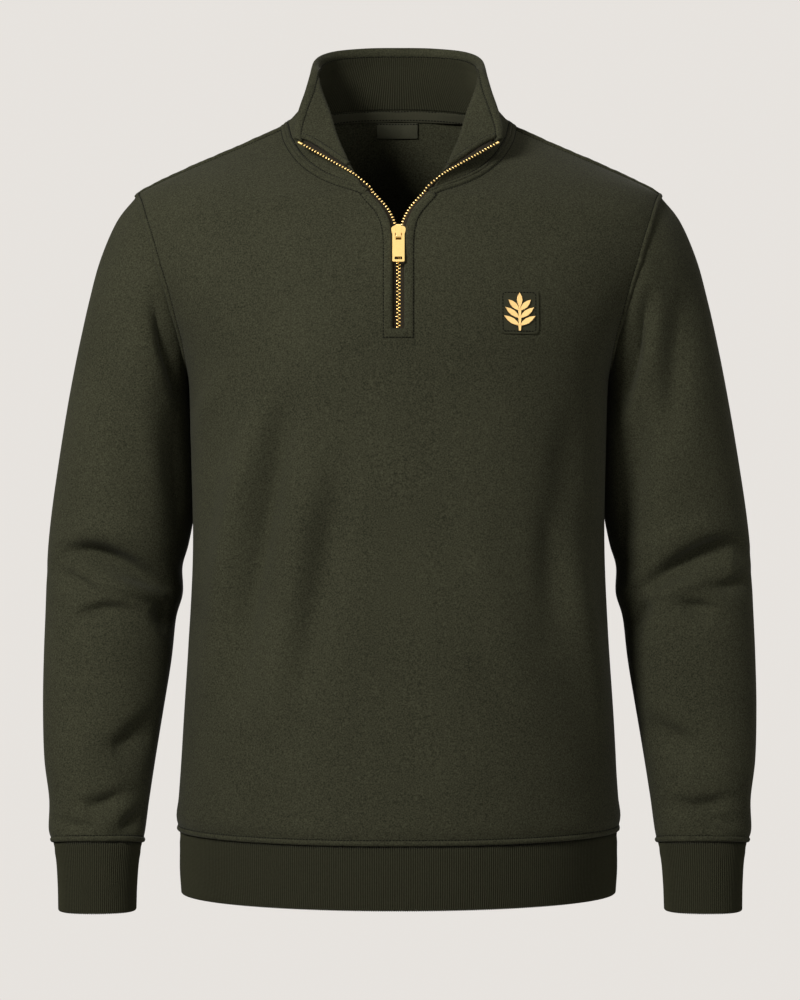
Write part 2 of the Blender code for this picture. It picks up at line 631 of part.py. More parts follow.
def crease(surface):
    """Moves the points in or out along their normals, across each trough and ridge."""
    normals = surface.normals()
    moves = np.zeros(len(surface.points))
    for piece, side, x1, z1, x2, z2, x3, z3, depth, half_width in CREASES:
        ids = np.unique(surface.quads[piece])
        facing = -normals[ids, 1] if side == "front" else normals[ids, 1]
        arc, along = arc_through(np.array([x1, z1]), np.array([x2, z2]), np.array([x3, z3]))
        apart = np.linalg.norm(surface.points[ids][:, None, [0, 2]] - arc, axis=2)
        nearest = apart.argmin(axis=1)
        taper = CREASE_END_SHARE + (1 - CREASE_END_SHARE) * np.sin(math.pi * along[nearest])
        weight = np.clip(facing * CREASE_FACING_GAIN + CREASE_FACING_FROM, 0.0, 1.0)
        moves[ids] -= depth * taper * weight * np.exp(-((apart.min(axis=1) / half_width) ** 2))
    surface.points += normals * moves[:, None]


# ---------------------------------------------------------------- walls


def wall(points, normals, quads, out, inside):
    """A closed wall round quads: its outer and inner faces, and rims, pulled back from the seams."""
    ids, local = np.unique(quads, return_inverse=True)
    quads = local.reshape(quads.shape)
    points, normals = points[ids].copy(), normals[ids]
    count = len(ids)
    edges = np.concatenate([quads[:, [k, (k + 1) % 4]] for k in range(4)])
    keys = np.sort(edges, axis=1)
    _, first, uses = np.unique(keys, axis=0, return_index=True, return_counts=True)
    rim = edges[first[uses == 1]]
    on_rim = np.zeros(count, bool)
    on_rim[rim] = True
    triangles = split(points, quads)
    corners = points[quads]
    face_normals = np.cross(corners[:, 2] - corners[:, 0], corners[:, 3] - corners[:, 1])
    face_normals /= np.linalg.norm(face_normals, axis=1, keepdims=True)
    lean, uses = np.zeros(count), np.zeros(count)
    for corner in range(4):
        np.add.at(lean, quads[:, corner], (face_normals * normals[quads[:, corner]]).sum(axis=1))
        np.add.at(uses, quads[:, corner], 1)
    spread = 1.0 / np.clip(lean / uses, 1.0 / MOST_MITRE, 1.0)
    pull_back(points, quads, on_rim, SEAM_GAP / 2 * spread)
    outer = points + normals * (out * spread)[:, None]
    inner = points + normals * (inside * spread)[:, None]
    faces = triangles.tolist() + (triangles[:, ::-1] + count).tolist()
    places = np.concatenate([outer, inner])
    rim_quads = np.stack([rim[:, 1], rim[:, 0], rim[:, 0] + count, rim[:, 1] + count], axis=1)
    return places, faces + split(places, rim_quads).tolist()


def split(points, quads):
    """Two triangles a quad, cut across its shorter diagonal, so that layers and rims match."""
    corners = points[quads]
    first = np.linalg.norm(corners[:, 2] - corners[:, 0], axis=1)
    second = np.linalg.norm(corners[:, 3] - corners[:, 1], axis=1)
    turned = np.where((first <= second + SAME_LENGTH)[:, None], quads, np.roll(quads, -1, axis=1))
    return np.stack([turned[:, [0, 1, 2]], turned[:, [0, 2, 3]]], axis=1).reshape(-1, 3)


def pull_back(points, quads, on_rim, distance):
    """Moves rim points into their own piece, further where two pieces meet at a sharp angle."""
    towards = np.zeros_like(points)
    uses = np.zeros(len(points))
    for corner in range(4):
        for other in range(1, 4):
            a, b = quads[:, corner], quads[:, (corner + other) % 4]
            inward = on_rim[a] & ~on_rim[b]
            np.add.at(towards, a[inward], points[b[inward]] - points[a[inward]])
            np.add.at(uses, a[inward], 1)
    move = uses > 0
    direction = towards[move] / np.linalg.norm(towards[move], axis=1, keepdims=True)
    points[move] += direction * distance[move, None]


def mesh_of(name, points, faces):
    """A closed mesh from points in millimetres, its faces turned outwards."""
    mesh = bpy.data.meshes.new(name)
    mesh.from_pydata((np.asarray(points) * MM).tolist(), [], faces)
    shell = bmesh.new()
    shell.from_mesh(mesh)
    bmesh.ops.recalc_face_normals(shell, faces=shell.faces)
    shell.to_mesh(mesh)
    shell.free()
    mesh.shade_smooth()
    return mesh


def strip_wall(name, under, over):
    """A thin closed strip between two layers of points, given as grids of one size."""
    rows, columns = under.shape[:2]
    ids = np.arange(rows * columns).reshape(rows, columns)
    quads = np.stack([ids[:-1, :-1], ids[:-1, 1:], ids[1:, 1:], ids[1:, :-1]], axis=-1).reshape(-1, 4)
    count = rows * columns
    ring = np.concatenate([ids[0, :-1], ids[:-1, -1], ids[-1, :0:-1], ids[:0:-1, 0]])
    faces = quads.tolist() + (quads[:, ::-1] + count).tolist()
    faces += [[b, a, a + count, b + count] for a, b in zip(ring.tolist(), np.roll(ring, -1).tolist())]
    return mesh_of(name, np.concatenate([over.reshape(-1, 3), under.reshape(-1, 3)]), faces)


def cloth_pieces(collection, surface, collar_shares):
    """One object for each cut piece of cloth, by name."""
    points, normals = surface.points, surface.normals()
    layers = []
    for piece in ("front_panel", "back_panel", "sleeve_right", "sleeve_left"):
        layers.append((piece, surface.quads[piece], CLOTH_WALL / 2, -CLOTH_WALL / 2, "fleece"))
    for piece in ("cuff_right", "cuff_left", "hem_band"):
        layers.append((piece, surface.quads[piece], RIB_WALL / 2, -RIB_WALL / 2, "rib_knit"))
    layers += collar_layers(surface.quads["collar"], collar_shares)
    objects = {}
    for piece, quads, out, inside, finish_name in layers:
        places, faces = wall(points, normals, quads, out, inside)
        objects[piece] = add_object(piece, mesh_of(piece, places, faces), collection, finish_name)
    return objects


def collar_layers(quads, shares):
    """The collar's outer layer, and inside it the rib lining between two facings."""
    steps = STAND_STEPS + LEAF_STEPS + 2
    both = np.concatenate([shares[::-1], shares[1:]])
    share = np.repeat((both[:-1] + both[1:]) / 2, steps)
    is_right = np.repeat(np.arange(len(both) - 1) < len(shares) - 1, steps)
    is_facing = share > FACING_FROM_SHARE
    near = SEAM_GAP / 2
    far = near + COLLAR_WALL
    return [
        ("collar_outer", quads, far, near, "fleece"),
        ("collar_lining", quads[~is_facing], -near, -far, "rib_knit"),
        ("collar_facing_right", quads[is_facing & is_right], -near, -far, "fleece"),
        ("collar_facing_left", quads[is_facing & ~is_right], -near, -far, "fleece"),
    ]


# ---------------------------------------------------------------- trim made from the panels


def wall_tree(obj, quad_count, inner=False):
    """A search tree over a wall's outer or inner faces, in millimetres."""
    points = [vertex.co / MM for vertex in obj.data.vertices]
    count = 2 * quad_count
    first = count if inner else 0
    faces = [polygon.vertices[:] for polygon in obj.data.polygons[first : first + count]]
    return BVHTree.FromPolygons(points, faces)


def seen_along_y(tree, across, height, gap, start_y=IN_FRONT_Y):
    """Where a wall is first met from the given depth towards +Y, moved back by a gap."""
    place, normal, _, _ = tree.ray_cast(Vector((across, start_y, height)), Vector((0.0, 1.0, 0.0)))
    return np.array(place + normal * math.copysign(gap, -normal.y))


def laid_layers(tree, plan, wall_thickness, start_y=IN_FRONT_Y):
    """Both layers of a piece that lies on a wall, over a flat plan of its points."""
    return [
        np.array([[seen_along_y(tree, x, z, gap, start_y) for x, z in row] for row in plan])
        for gap in (SEAM_GAP, SEAM_GAP + wall_thickness)
    ]


def patch_plan():
    """The patch's grid, flat, with its corner points drawn in to round the corners."""
    half_width, half_height = PATCH_SIZE[0] / 2, PATCH_SIZE[1] / 2
    inner_across = np.linspace(PATCH_CORNER - half_width, half_width - PATCH_CORNER, PATCH_COLUMNS - 1)
    inner_height = np.linspace(PATCH_CORNER - half_height, half_height - PATCH_CORNER, PATCH_ROWS - 1)
    across = np.concatenate([[-half_width], inner_across, [half_width]])
    height = np.concatenate([[-half_height], inner_height, [half_height]])
    plan = np.stack(np.meshgrid(across, height), axis=-1)
    drawn_in = PATCH_CORNER * (1.0 - math.sqrt(0.5))
    for row, column in ((0, 0), (0, -1), (-1, 0), (-1, -1)):
        plan[row, column] -= np.sign(plan[row, column]) * drawn_in
    return plan + np.array(PATCH_CENTRE)


def chest_patch(collection, front_tree):
    under, over = laid_layers(front_tree, patch_plan(), PATCH_WALL)
    return add_object("chest_patch", strip_wall("chest_patch", under, over), collection, "patch")


def leaf_outline(base, angle, length):
    """One pointed leaf from its lower side at the stem, round its tip, to its upper side."""
    direction = np.array([math.cos(angle), math.sin(angle)])
    upward = np.array([-direction[1], direction[0]])
    shares = LEAF_SHARES
    halves = [
        SPRIG_STEM_WIDTH / 2 * (1 - share) + SPRIG_LEAF_WIDTH / 2 * math.sin(math.pi * share)
        for share in shares
    ]
    lower = [base + direction * length * share - upward * half for share, half in zip(shares, halves)]
    upper = [base + direction * length * share + upward * half for share, half in zip(shares, halves)]
    return lower + [base + direction * length] + upper[::-1]


def sprig_outline():
    """A closed outline: a stem with pairs of leaves, and one leaf at its top."""
    stem = SPRIG_STEM_WIDTH / 2
    right = [np.array([stem, -SPRIG_HEIGHT / 2])]
    for height, length, angle in SPRIG_LEAVES:
        leaf = leaf_outline(np.array([stem, height]), math.radians(angle), length)
        right += [np.array([max(x, stem), y]) for x, y in leaf]
    top_length = SPRIG_HEIGHT / 2 - SPRIG_TOP_LEAF
    top = leaf_outline(np.array([0.0, SPRIG_TOP_LEAF]), math.pi / 2, top_length)
    left = [point * np.array([-1.0, 1.0]) for point in right[::-1]]
    return right + top + left


def flat_mesh(name, outlines, thickness):
    """A flat slab from closed outlines in millimetres; an outline inside another one is a hole."""
    curve = bpy.data.curves.new(name, "CURVE")
    curve.dimensions = "2D"
    curve.fill_mode = "BOTH"
    curve.extrude = thickness * MM / 2
    for outline in outlines:
        spline = curve.splines.new("POLY")
        spline.points.add(len(outline) - 1)
        for point, (x, y) in zip(spline.points, outline):
            point.co = (x * MM, y * MM, 0.0, 1.0)
        spline.use_cyclic_u = True
    helper = bpy.data.objects.new(name, curve)
    bpy.context.scene.collection.objects.link(helper)
    graph = bpy.context.evaluated_depsgraph_get()
    mesh = bpy.data.meshes.new_from_object(helper.evaluated_get(graph))
    bpy.data.objects.remove(helper, do_unlink=True)
    bpy.data.curves.remove(curve)
    slab = bmesh.new()
    slab.from_mesh(mesh)
    bmesh.ops.remove_doubles(slab, verts=slab.verts, dist=1e-6)
    bmesh.ops.recalc_face_normals(slab, faces=slab.faces)
    slab.to_mesh(mesh)
    slab.free()
    mesh.materials.clear()
    return mesh


def patch_emblem(collection, patch):
    """A gold leaf sprig, bent to lie on the patch."""
    tree = BVHTree.FromPolygons(
        [vertex.co / MM for vertex in patch.data.vertices],
        [polygon.vertices[:] for polygon in patch.data.polygons],
    )
    mesh = flat_mesh("patch_emblem", [sprig_outline()], EMBLEM_WALL)
    for vertex in mesh.vertices:
        across = PATCH_CENTRE[0] + vertex.co.x / MM
        height = PATCH_CENTRE[1] + vertex.co.y / MM
        lift = EMBLEM_WALL if vertex.co.z > 0 else 0.0
        vertex.co = Vector(seen_along_y(tree, across, height, SEAM_GAP + lift)) * MM
    return add_object("patch_emblem", mesh, collection, "gold")


def neck_label(collection, back_tree):
    """A plain label inside the back, just under the neck tape."""
    across = LABEL_CENTRE_X + np.linspace(-0.5, 0.5, LABEL_COLUMNS + 1) * LABEL_SIZE[0]
    height = LABEL_TOP_Z - np.linspace(1.0, 0.0, LABEL_ROWS + 1) * LABEL_SIZE[1]
    plan = np.stack(np.meshgrid(across, height), axis=-1)
    under, over = laid_layers(back_tree, plan, THIN_WALL, start_y=0.0)
    add_object("neck_label", strip_wall("neck_label", under, over), collection, "label")


def neck_tape(collection, back_tree, neckline):
    """Tape over the back neck seam, inside, from one shoulder seam to the other."""
    whole = np.concatenate([neckline[::-1], mirrored(neckline)[1:]])
    reaches = NECK_TAPE_BELOW_SEAM + np.linspace(0.0, NECK_TAPE_HEIGHT, NECK_TAPE_STEPS + 1)
    under, over = [], []
    for place, along in zip(whole, np.gradient(whole, axis=0)):
        _, inward, _, _ = back_tree.find_nearest(Vector(place))
        down = np.cross(inward, along)
        down *= -np.sign(down[2]) / np.linalg.norm(down)
        hits = [back_tree.find_nearest(Vector(place + down * reach)) for reach in reaches]
        under.append([spot + normal * SEAM_GAP for spot, normal, _, _ in hits])
        over.append([spot + normal * (SEAM_GAP + THIN_WALL) for spot, normal, _, _ in hits])
    mesh = strip_wall("neck_tape", np.array(under), np.array(over))
    add_object("neck_tape", mesh, collection, "tape")


def zip_tape(collection, name, front_tree, is_left):
    """One side's tape: sewn under the slit's edge, and out of it as far as the teeth."""
    table = np.array(FRONT_ROWS)
    knots = np.arange(len(table))
    under, over = [], []
    for row, reach_under, reach_out in ZIP_TAPE_SECTIONS:
        section = smooth(knots, table, row)[0]
        shares = (1.0 - PANEL_EDGE_SHARE, 1.0)
        inside, edge = panel_row(section[0:3], section[3:6], *section[6:9], shares)
        if is_left:
            inside, edge = mirrored(inside), mirrored(edge)
        outward = (edge - inside) / np.linalg.norm(edge - inside)
        backs = (reach_under, ZIP_TAPE_MIDDLE, ZIP_TAPE_EDGE)
        hits = [front_tree.find_nearest(Vector(edge - outward * back)) for back in backs]
        places = [(np.array(spot), np.array(normal)) for spot, normal, _, _ in hits]
        last_spot, last_normal = places[-1]
        for reach in (reach_out / 2, reach_out):
            places.append((last_spot + outward * (ZIP_TAPE_EDGE + reach), last_normal))
        over.append([spot + normal * SEAM_GAP for spot, normal in places])
        under.append([spot + normal * (SEAM_GAP + ZIP_TAPE_WALL) for spot, normal in places])
    mesh = strip_wall(name, np.array(under), np.array(over))
    add_object(name, mesh, collection, "zip_tape")


# ---------------------------------------------------------------- zip hardware


def slider_frame():
    """The slider's place on the slit: X across, Y up the zip, Z outwards, Z = 0 in the tapes."""
    below, here, above = (np.array(FRONT_ROWS[SLIDER_ROW + step][3:6]) for step in (-1, 0, 1))
    up = (above - below) * np.array([0.0, 1.0, 1.0])
    up /= np.linalg.norm(up)
    out = np.cross((1.0, 0.0, 0.0), up)
    tape_depth = CLOTH_WALL / 2 + SEAM_GAP + ZIP_TAPE_WALL / 2
    place = (here * np.array([0.0, 1.0, 1.0]) - out * tape_depth) * MM
    frame = Matrix.Identity(4)
    for column, axis in enumerate(((1.0, 0.0, 0.0), up, out)):
        frame.col[column][:3] = axis
    frame.col[3][:3] = place
    return frame


def rounded_rectangle(left, right, low, high, corner, steps=3):
    outline = []
    centres = ((right, high, 0), (left, high, 90), (left, low, 180), (right, low, 270))
    for x, y, turn in centres:
        centre_x = x - math.copysign(corner, x - (left + right) / 2)
        centre_y = y - math.copysign(corner, y - (low + high) / 2)
        for step in range(steps + 1):
            angle = math.radians(turn + 90 * step / steps)
            outline.append((centre_x + corner * math.cos(angle), centre_y + corner * math.sin(angle)))
    return outline


def slot(width, low, high, corner):
    """A rounded rectangle that is centred across the zip."""
    return rounded_rectangle(-width / 2, width / 2, low, high, corner)


def slider_plate_outline():
    top, bottom, half = SLIDER_TOP_WIDTH / 2, SLIDER_BOTTOM_WIDTH / 2, SLIDER_LENGTH / 2
    right = [(bottom - SLIDER_CHAMFER, -half), (bottom, SLIDER_CHAMFER - half)]
    right += [(bottom, -half / 3), (top, half / 3), (top, half - SLIDER_SHOULDER[1])]
    right += [(top - SLIDER_SHOULDER[0], half - SLIDER_CAP[1]), (top - SLIDER_CAP[0], half)]
    return right + [(-x, y) for x, y in right[::-1]]


def crown_outline():
    """A bridge seen from its side: along the zip, and out from the plate."""
    low = SLIDER_MOUTH / 2 + SLIDER_PLATE - CROWN_ROOT
    high = low + CROWN_ROOT + CROWN_RISE
    outer, inner = CROWN_LENGTH / 2, CROWN_LENGTH / 2 - CROWN_WALL
    small, large = CROWN_ROUND
    half = [(outer, low), (outer, high - large), (outer - small, high - small), (outer - large, high)]
    ceiling = high - CROWN_WALL
    inside = [(inner - CROWN_INNER_CORNER, ceiling), (inner, ceiling - CROWN_INNER_CORNER), (inner, low)]
    over = half + [(-x, y) for x, y in half[::-1]]
    return over + [(-x, y) for x, y in inside[::-1]] + inside


def axis_height():
    """The pull's axis over the tapes: halfway up the crown's opening."""
    return SLIDER_MOUTH / 2 + SLIDER_PLATE + (CROWN_RISE - CROWN_WALL) / 2


def zip_slider(collection, cutters, frame):
    """Two plates with the tapes between them, a wedge that parts them and a crown for the pull."""
    plate_z = (SLIDER_MOUTH + SLIDER_PLATE) / 2 * MM
    slider = add_object(
        "zip_slider", flat_mesh("zip_slider", [slider_plate_outline()], SLIDER_PLATE), collection, "gold"
    )
    slider.data.transform(Matrix.Translation((0.0, 0.0, plate_z)))
    slider.matrix_world = frame
    back_plate = flat_mesh("slider_back_plate", [slider_plate_outline()], SLIDER_PLATE)
    back_plate.transform(Matrix.Translation((0.0, 0.0, -plate_z)))
    width, length = SLIDER_WEDGE
    top = SLIDER_LENGTH / 2 - SLIDER_WEDGE_FROM_TOP
    wedge_outline = slot(width, top - length, top, SLIDER_WEDGE_CORNER)
    wedge = flat_mesh("slider_wedge", [wedge_outline], SLIDER_MOUTH + SLIDER_PLATE)
    crown = flat_mesh("slider_crown", [crown_outline()], CROWN_WIDTH)
    crown.transform(Matrix(((0, 0, 1, 0), (1, 0, 0, 0), (0, 1, 0, 0), (0, 0, 0, 1))))
    for mesh in (wedge, back_plate, crown):
        tool = add_object(mesh.name, mesh, cutters, "gold")
        tool.matrix_world = frame
        tool.hide_render = True
        tool.display_type = "WIRE"
        union = slider.modifiers.new(f"add_{mesh.name}", "BOOLEAN")
        union.operation = "UNION"
        union.object = tool
        union.solver = "EXACT"


def zip_pull(collection, frame):
    """The pull tab, its origin on the axis it swings about, hanging down the zip."""
    width, length = PULL_SIZE
    top = PULL_BAR / 2
    bottom = top - length
    slot_width, slot_length = PULL_TOP_SLOT
    end_width, end_length = PULL_BOTTOM_SLOT
    end_low = bottom + PULL_BOTTOM_BAR
    outlines = [
        slot(width, bottom, top, PULL_CORNER),
        slot(slot_width, -top - slot_length, -top, PULL_TOP_SLOT_CORNER),
        slot(end_width, end_low, end_low + end_length, PULL_BOTTOM_SLOT_CORNER),
    ]
    pull = add_object("zip_pull", flat_mesh("zip_pull", outlines, PULL_WALL), collection, "gold")
    pull.matrix_world = frame @ Matrix.Translation((0.0, 0.0, axis_height() * MM))


def main():
    clear_scene()
    collection = collection_named("quarter_zip_sweater")
    cutters = collection_named("quarter_zip_sweater_cutters", hidden=True)
    surface, front, back, collar_shares = garment_surface()
    crease(surface)
    cloth = cloth_pieces(collection, surface, collar_shares)

    front_count = len(surface.quads["front_panel"])
    back_count = len(surface.quads["back_panel"])
    front_outside = wall_tree(cloth["front_panel"], front_count)
    front_inside = wall_tree(cloth["front_panel"], front_count, inner=True)
    back_inside = wall_tree(cloth["back_panel"], back_count, inner=True)
    patch = chest_patch(collection, front_outside)
    patch_emblem(collection, patch)
    neck_tape(collection, back_inside, back[-NECK_ROWS_BACK - 1 :, -1])
    neck_label(collection, back_inside)
    zip_tape(collection, "zip_tape_right", front_inside, is_left=False)
    zip_tape(collection, "zip_tape_left", front_inside, is_left=True)
    frame = slider_frame()
    zip_slider(collection, cutters, frame)
    zip_pull(collection, frame)


main()
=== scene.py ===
# %% [markdown]
# # A quarter zip sweatshirt
#
# This lesson dresses the plain solids of a sweatshirt in cloth. The solids already have the right
# size and outline. Here each piece is made again as a fine, soft surface with seams, ribs, stitches
# and a metal zip, and each gets a material that is built from nodes.

# %% Load the frame
import json
import math

import bmesh
import bpy
import numpy as np
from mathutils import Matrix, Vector
from mathutils.bvhtree import BVHTree

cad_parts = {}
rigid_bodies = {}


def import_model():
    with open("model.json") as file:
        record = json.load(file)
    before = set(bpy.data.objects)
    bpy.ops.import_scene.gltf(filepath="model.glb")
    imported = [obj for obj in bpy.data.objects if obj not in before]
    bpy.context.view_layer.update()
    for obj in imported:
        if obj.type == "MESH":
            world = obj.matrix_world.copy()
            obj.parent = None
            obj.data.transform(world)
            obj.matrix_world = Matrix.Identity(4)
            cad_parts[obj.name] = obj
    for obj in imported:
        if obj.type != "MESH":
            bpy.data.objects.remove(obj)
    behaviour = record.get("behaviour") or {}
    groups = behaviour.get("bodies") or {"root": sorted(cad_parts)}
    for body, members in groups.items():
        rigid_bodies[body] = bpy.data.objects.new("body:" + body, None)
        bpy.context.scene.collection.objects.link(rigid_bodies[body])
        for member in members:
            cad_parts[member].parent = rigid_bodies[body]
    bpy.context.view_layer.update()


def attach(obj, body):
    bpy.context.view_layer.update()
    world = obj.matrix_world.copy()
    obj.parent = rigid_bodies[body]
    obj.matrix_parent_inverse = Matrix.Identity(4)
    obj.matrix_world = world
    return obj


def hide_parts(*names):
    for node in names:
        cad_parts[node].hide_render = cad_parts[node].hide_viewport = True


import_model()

# %% [markdown]
# ## Sizes
#
# A sweatshirt is cut from a few measured sections. The tables below are in millimetres, with +Z up,
# the front facing -Y and the wearer's left at +X. Zero is the middle of the neck opening. Only the
# wearer's right half is listed, because the left half mirrors it.

# %% Sizes and tables
MM = 0.001

CLOTH_WALL = 2.2
RIB_WALL = 2.6
SLIT_HALF_WIDTH = 6.0
SLIT_BOTTOM_ROW = 3
HEM_SEAM_Z = -632.0
HEM_BOTTOM_Z = -688.5
UNDERARM_Z = -232.0
CUFF_SEAM_Z = -640.0
CUFF_BOTTOM_Z = -700.0

BODY_SECTIONS = (
    # height, half_width, front_depth, back_depth, squareness
    (-632, 195.5, 137.5, 123, 1.95),
    (-622, 198.3, 140.5, 126, 1.98),
    (-604, 196.6, 141, 126, 2.05),
    (-585, 195.1, 140.5, 125, 2.12),
    (-530, 191.6, 139, 121, 2.22),
    (-450, 186.6, 138, 114, 2.35),
    (-372, 183.6, 137.5, 110.5, 2.45),
    (-300, 184.6, 138.5, 114, 2.5),
    (-232, 186.5, 139, 121, 2.5),
)
FRONT_ROWS = (
    # armhole_x, armhole_y, armhole_z, centre_x, centre_y, centre_z, start_angle, squareness, arch
    (-186.5, 0, -232, -6, -139, -240, 0, 2.5, 0),
    (-187.5, -20, -224, -6, -138.5, -222, 5.5, 2.5, 0),
    (-189.5, -36, -209, -6, -137.5, -206, 11.5, 2.5, 0),
    (-193, -49, -191, -6, -135.5, -190, 17, 2.48, 0),
    (-198.5, -59.5, -172, -6, -131.5, -163, 22.5, 2.45, 0),
    (-204.5, -66, -151, -6, -126, -134, 27, 2.42, 0),
    (-211, -66.5, -132, -6.6, -118, -106, 29.5, 2.4, 0),
    (-218, -59.5, -110, -12.2, -108, -87, 29, 2.35, 0),
    (-225, -46, -90, -27, -98, -68.5, 25.5, 2.3, 2),
    (-229.5, -31, -77, -62, -79, -54.5, 20.5, 2.25, 5),
    (-233, -15, -69, -83, -58, -38.5, 14, 2.2, 8),
    (-235, -5, -65, -96, -29, -18.5, 9, 2.1, 10),
    (-235.5, 4, -64, -101.5, 0, 0, 6, 2, 10.5),
)
FRONT_NECK_ROW = 8
BACK_ROWS = (
    # armhole_x, armhole_y, armhole_z, centre_x, centre_y, centre_z, start_angle, squareness, arch
    (-186.5, 0, -232, 0, 121, -236, 0, 2.5, 0),
    (-188, 20, -225, 0, 121.5, -211, 6.5, 2.5, 0),
    (-190.5, 37, -211, 0, 122, -185, 13.5, 2.5, 0),
    (-194.5, 51, -193, 0, 121, -158, 20.5, 2.48, 0),
    (-200, 62, -172, 0, 118, -130, 27, 2.45, 0),
    (-206, 67.5, -151, 0, 113, -101, 32, 2.42, 0),
    (-212, 67.5, -131, 0, 106, -71, 35, 2.38, 0),
    (-218.5, 61, -111, 0, 96.5, -40, 35.5, 2.32, 0),
    (-225, 50, -93, 0, 84.5, -8, 33, 2.25, 3),
    (-230, 37, -80, 0, 72, 24, 28.5, 2.2, 6),
    (-233, 24, -71.5, -50, 62.5, 21, 21, 2.15, 9),
    (-235, 13.5, -66.5, -86, 36, 12, 14, 2.1, 10.5),
    (-235.5, 4, -64, -101.5, 0, 0, 6, 2, 10.5),
)
BACK_NECK_ROW = 9
SLEEVE_SECTIONS = (
    # outer_x, outer_z, inner_x, inner_z, centre_y, half_depth, squareness
    (-235.5, -64, -186.5, -232, 2, 68, 2.1),
    (-252.5, -86, -187, -236.5, 2, 71.5, 2.1),
    (-267.5, -121, -186.5, -247, 3, 73, 2.1),
    (-277.5, -158, -185.5, -261, 4, 72.5, 2.1),
    (-285, -191, -184.5, -277, 5, 71, 2.1),
    (-292, -225, -184, -296, 6.5, 69, 2.1),
    (-298.5, -260, -184, -317, 8, 66.5, 2.1),
    (-305.2, -300, -185.5, -345, 9.5, 62.5, 2.1),
    (-311.5, -342, -191, -375, 10, 58.5, 2.1),
    (-315.2, -376, -196.8, -396, 9, 56.5, 2.1),
    (-316.6, -405, -196.4, -420, 6.5, 55.5, 2.1),
    (-317.2, -432, -202.2, -442, 2.5, 53.5, 2.1),
    (-318.2, -475, -206, -479, -5, 49.5, 2.1),
    (-318.3, -520, -212.2, -520, -12.5, 46, 2.1),
    (-316.4, -566, -219.2, -565, -20, 42.5, 2.1),
    (-311.6, -602, -224.3, -600, -25, 39.5, 2.1),
    (-311.6, -629, -228, -629, -29, 37.5, 2.1),
    (-307.6, -640, -230.6, -640, -30.5, 34, 2.1),
)
ARMHOLE_FADE_SECTION = 7
CUFF_SEAM_TILT = 0.13
CUFF_TILT_SECTIONS = 3
CUFF_SECTIONS = (
    # height, width_share, depth_share, shift_y
    (-640, 1, 1, 0),
    (-652, 0.93, 0.97, -0.8),
    (-675, 0.875, 0.94, -3.2),
    (-700, 0.855, 0.91, -5.5),
)
SLEEVE_SWAY = ((-250.0, 0.0), (-450.0, 0.9), (-600.0, 1.3), (-720.0, 1.6))
HEM_SECTIONS = (
    # height, width_share
    (-632, 1),
    (-645, 0.997),
    (-668, 0.997),
    (-688.5, 0.99),
)
COLLAR_SECTIONS = (
    # share, roll_x, roll_y, roll_z, rim_x, rim_y, rim_z, stand_hollow
    (0, 0, 64, 69, 0, 62, 79, 1),
    (0.15, -31, 60.5, 68, -32, 59, 78, 1.5),
    (0.3, -58.5, 44, 62.5, -61.5, 43, 72.5, 3),
    (0.42, -70.5, 21, 56, -74, 19.5, 63.5, 5.5),
    (0.5, -73, 2, 51.5, -77, 1, 55, 7),
    (0.57, -71.5, -13, 46, -78.8, -14, 44.5, 7),
    (0.66, -66, -29, 27, -82.5, -30, 28, 6),
    (0.75, -59, -46, 7, -86.5, -40.5, 14.5, 3),
    (0.85, -52.5, -63, -17, -89.4, -49, 3, 1),
    (0.93, -44.5, -80, -37.5, -91.5, -57, -8.5, 0),
    (1, -38, -93, -51.5, -91, -64, -18.5, 0),
)
ROLL_ROUNDING = 6.0
MOST_ROUNDING_SHARE = 0.45
FACING_FROM_SHARE = 0.52

# %% [markdown]
# ## Curves through the tables
#
# A sewn panel has no corners between its measured sections, so each table is read as a smooth curve.
# Every row of a body panel is a quarter of a superellipse, a rounded square that comes close to a
# chest's section. Points are spread evenly along it, because even cells take folds evenly.

# %% Curves and rows
ROW_SAMPLES = 160
LEAST_LENGTH = 1e-9


def smooth(knots, values, at):
    """Values of a smooth curve through table rows, at the given positions along the knots."""
    knots = np.asarray(knots, float)
    values = np.asarray(values, float)
    at = np.atleast_1d(np.asarray(at, float))
    slopes = np.gradient(values, knots, axis=0)
    low = np.clip(np.searchsorted(knots, at, side="right") - 1, 0, len(knots) - 2)
    step = knots[low + 1] - knots[low]
    t = (at - knots[low]) / step
    shape = (-1,) + (1,) * (values.ndim - 1)
    t, step = t.reshape(shape), step.reshape(shape)
    from_low = (1 + 2 * t) * (1 - t) ** 2 * values[low] + t * (1 - t) ** 2 * step * slopes[low]
    from_high = t**2 * (3 - 2 * t) * values[low + 1] + t**2 * (t - 1) * step * slopes[low + 1]
    return from_low + from_high


def distances(points):
    """How far along a polyline each of its points lies."""
    return np.concatenate([[0.0], np.cumsum(np.linalg.norm(np.diff(points, axis=0), axis=1))])


def unit(vectors):
    """The same directions, each with a length of one."""
    return vectors / np.maximum(np.linalg.norm(vectors, axis=-1, keepdims=True), LEAST_LENGTH)


def even_shares(points, shares):
    """Points at the given shares of a polyline's length."""
    along = distances(points)
    targets = np.asarray(shares) * along[-1]
    return np.stack([np.interp(targets, along, column) for column in points.T], axis=1)


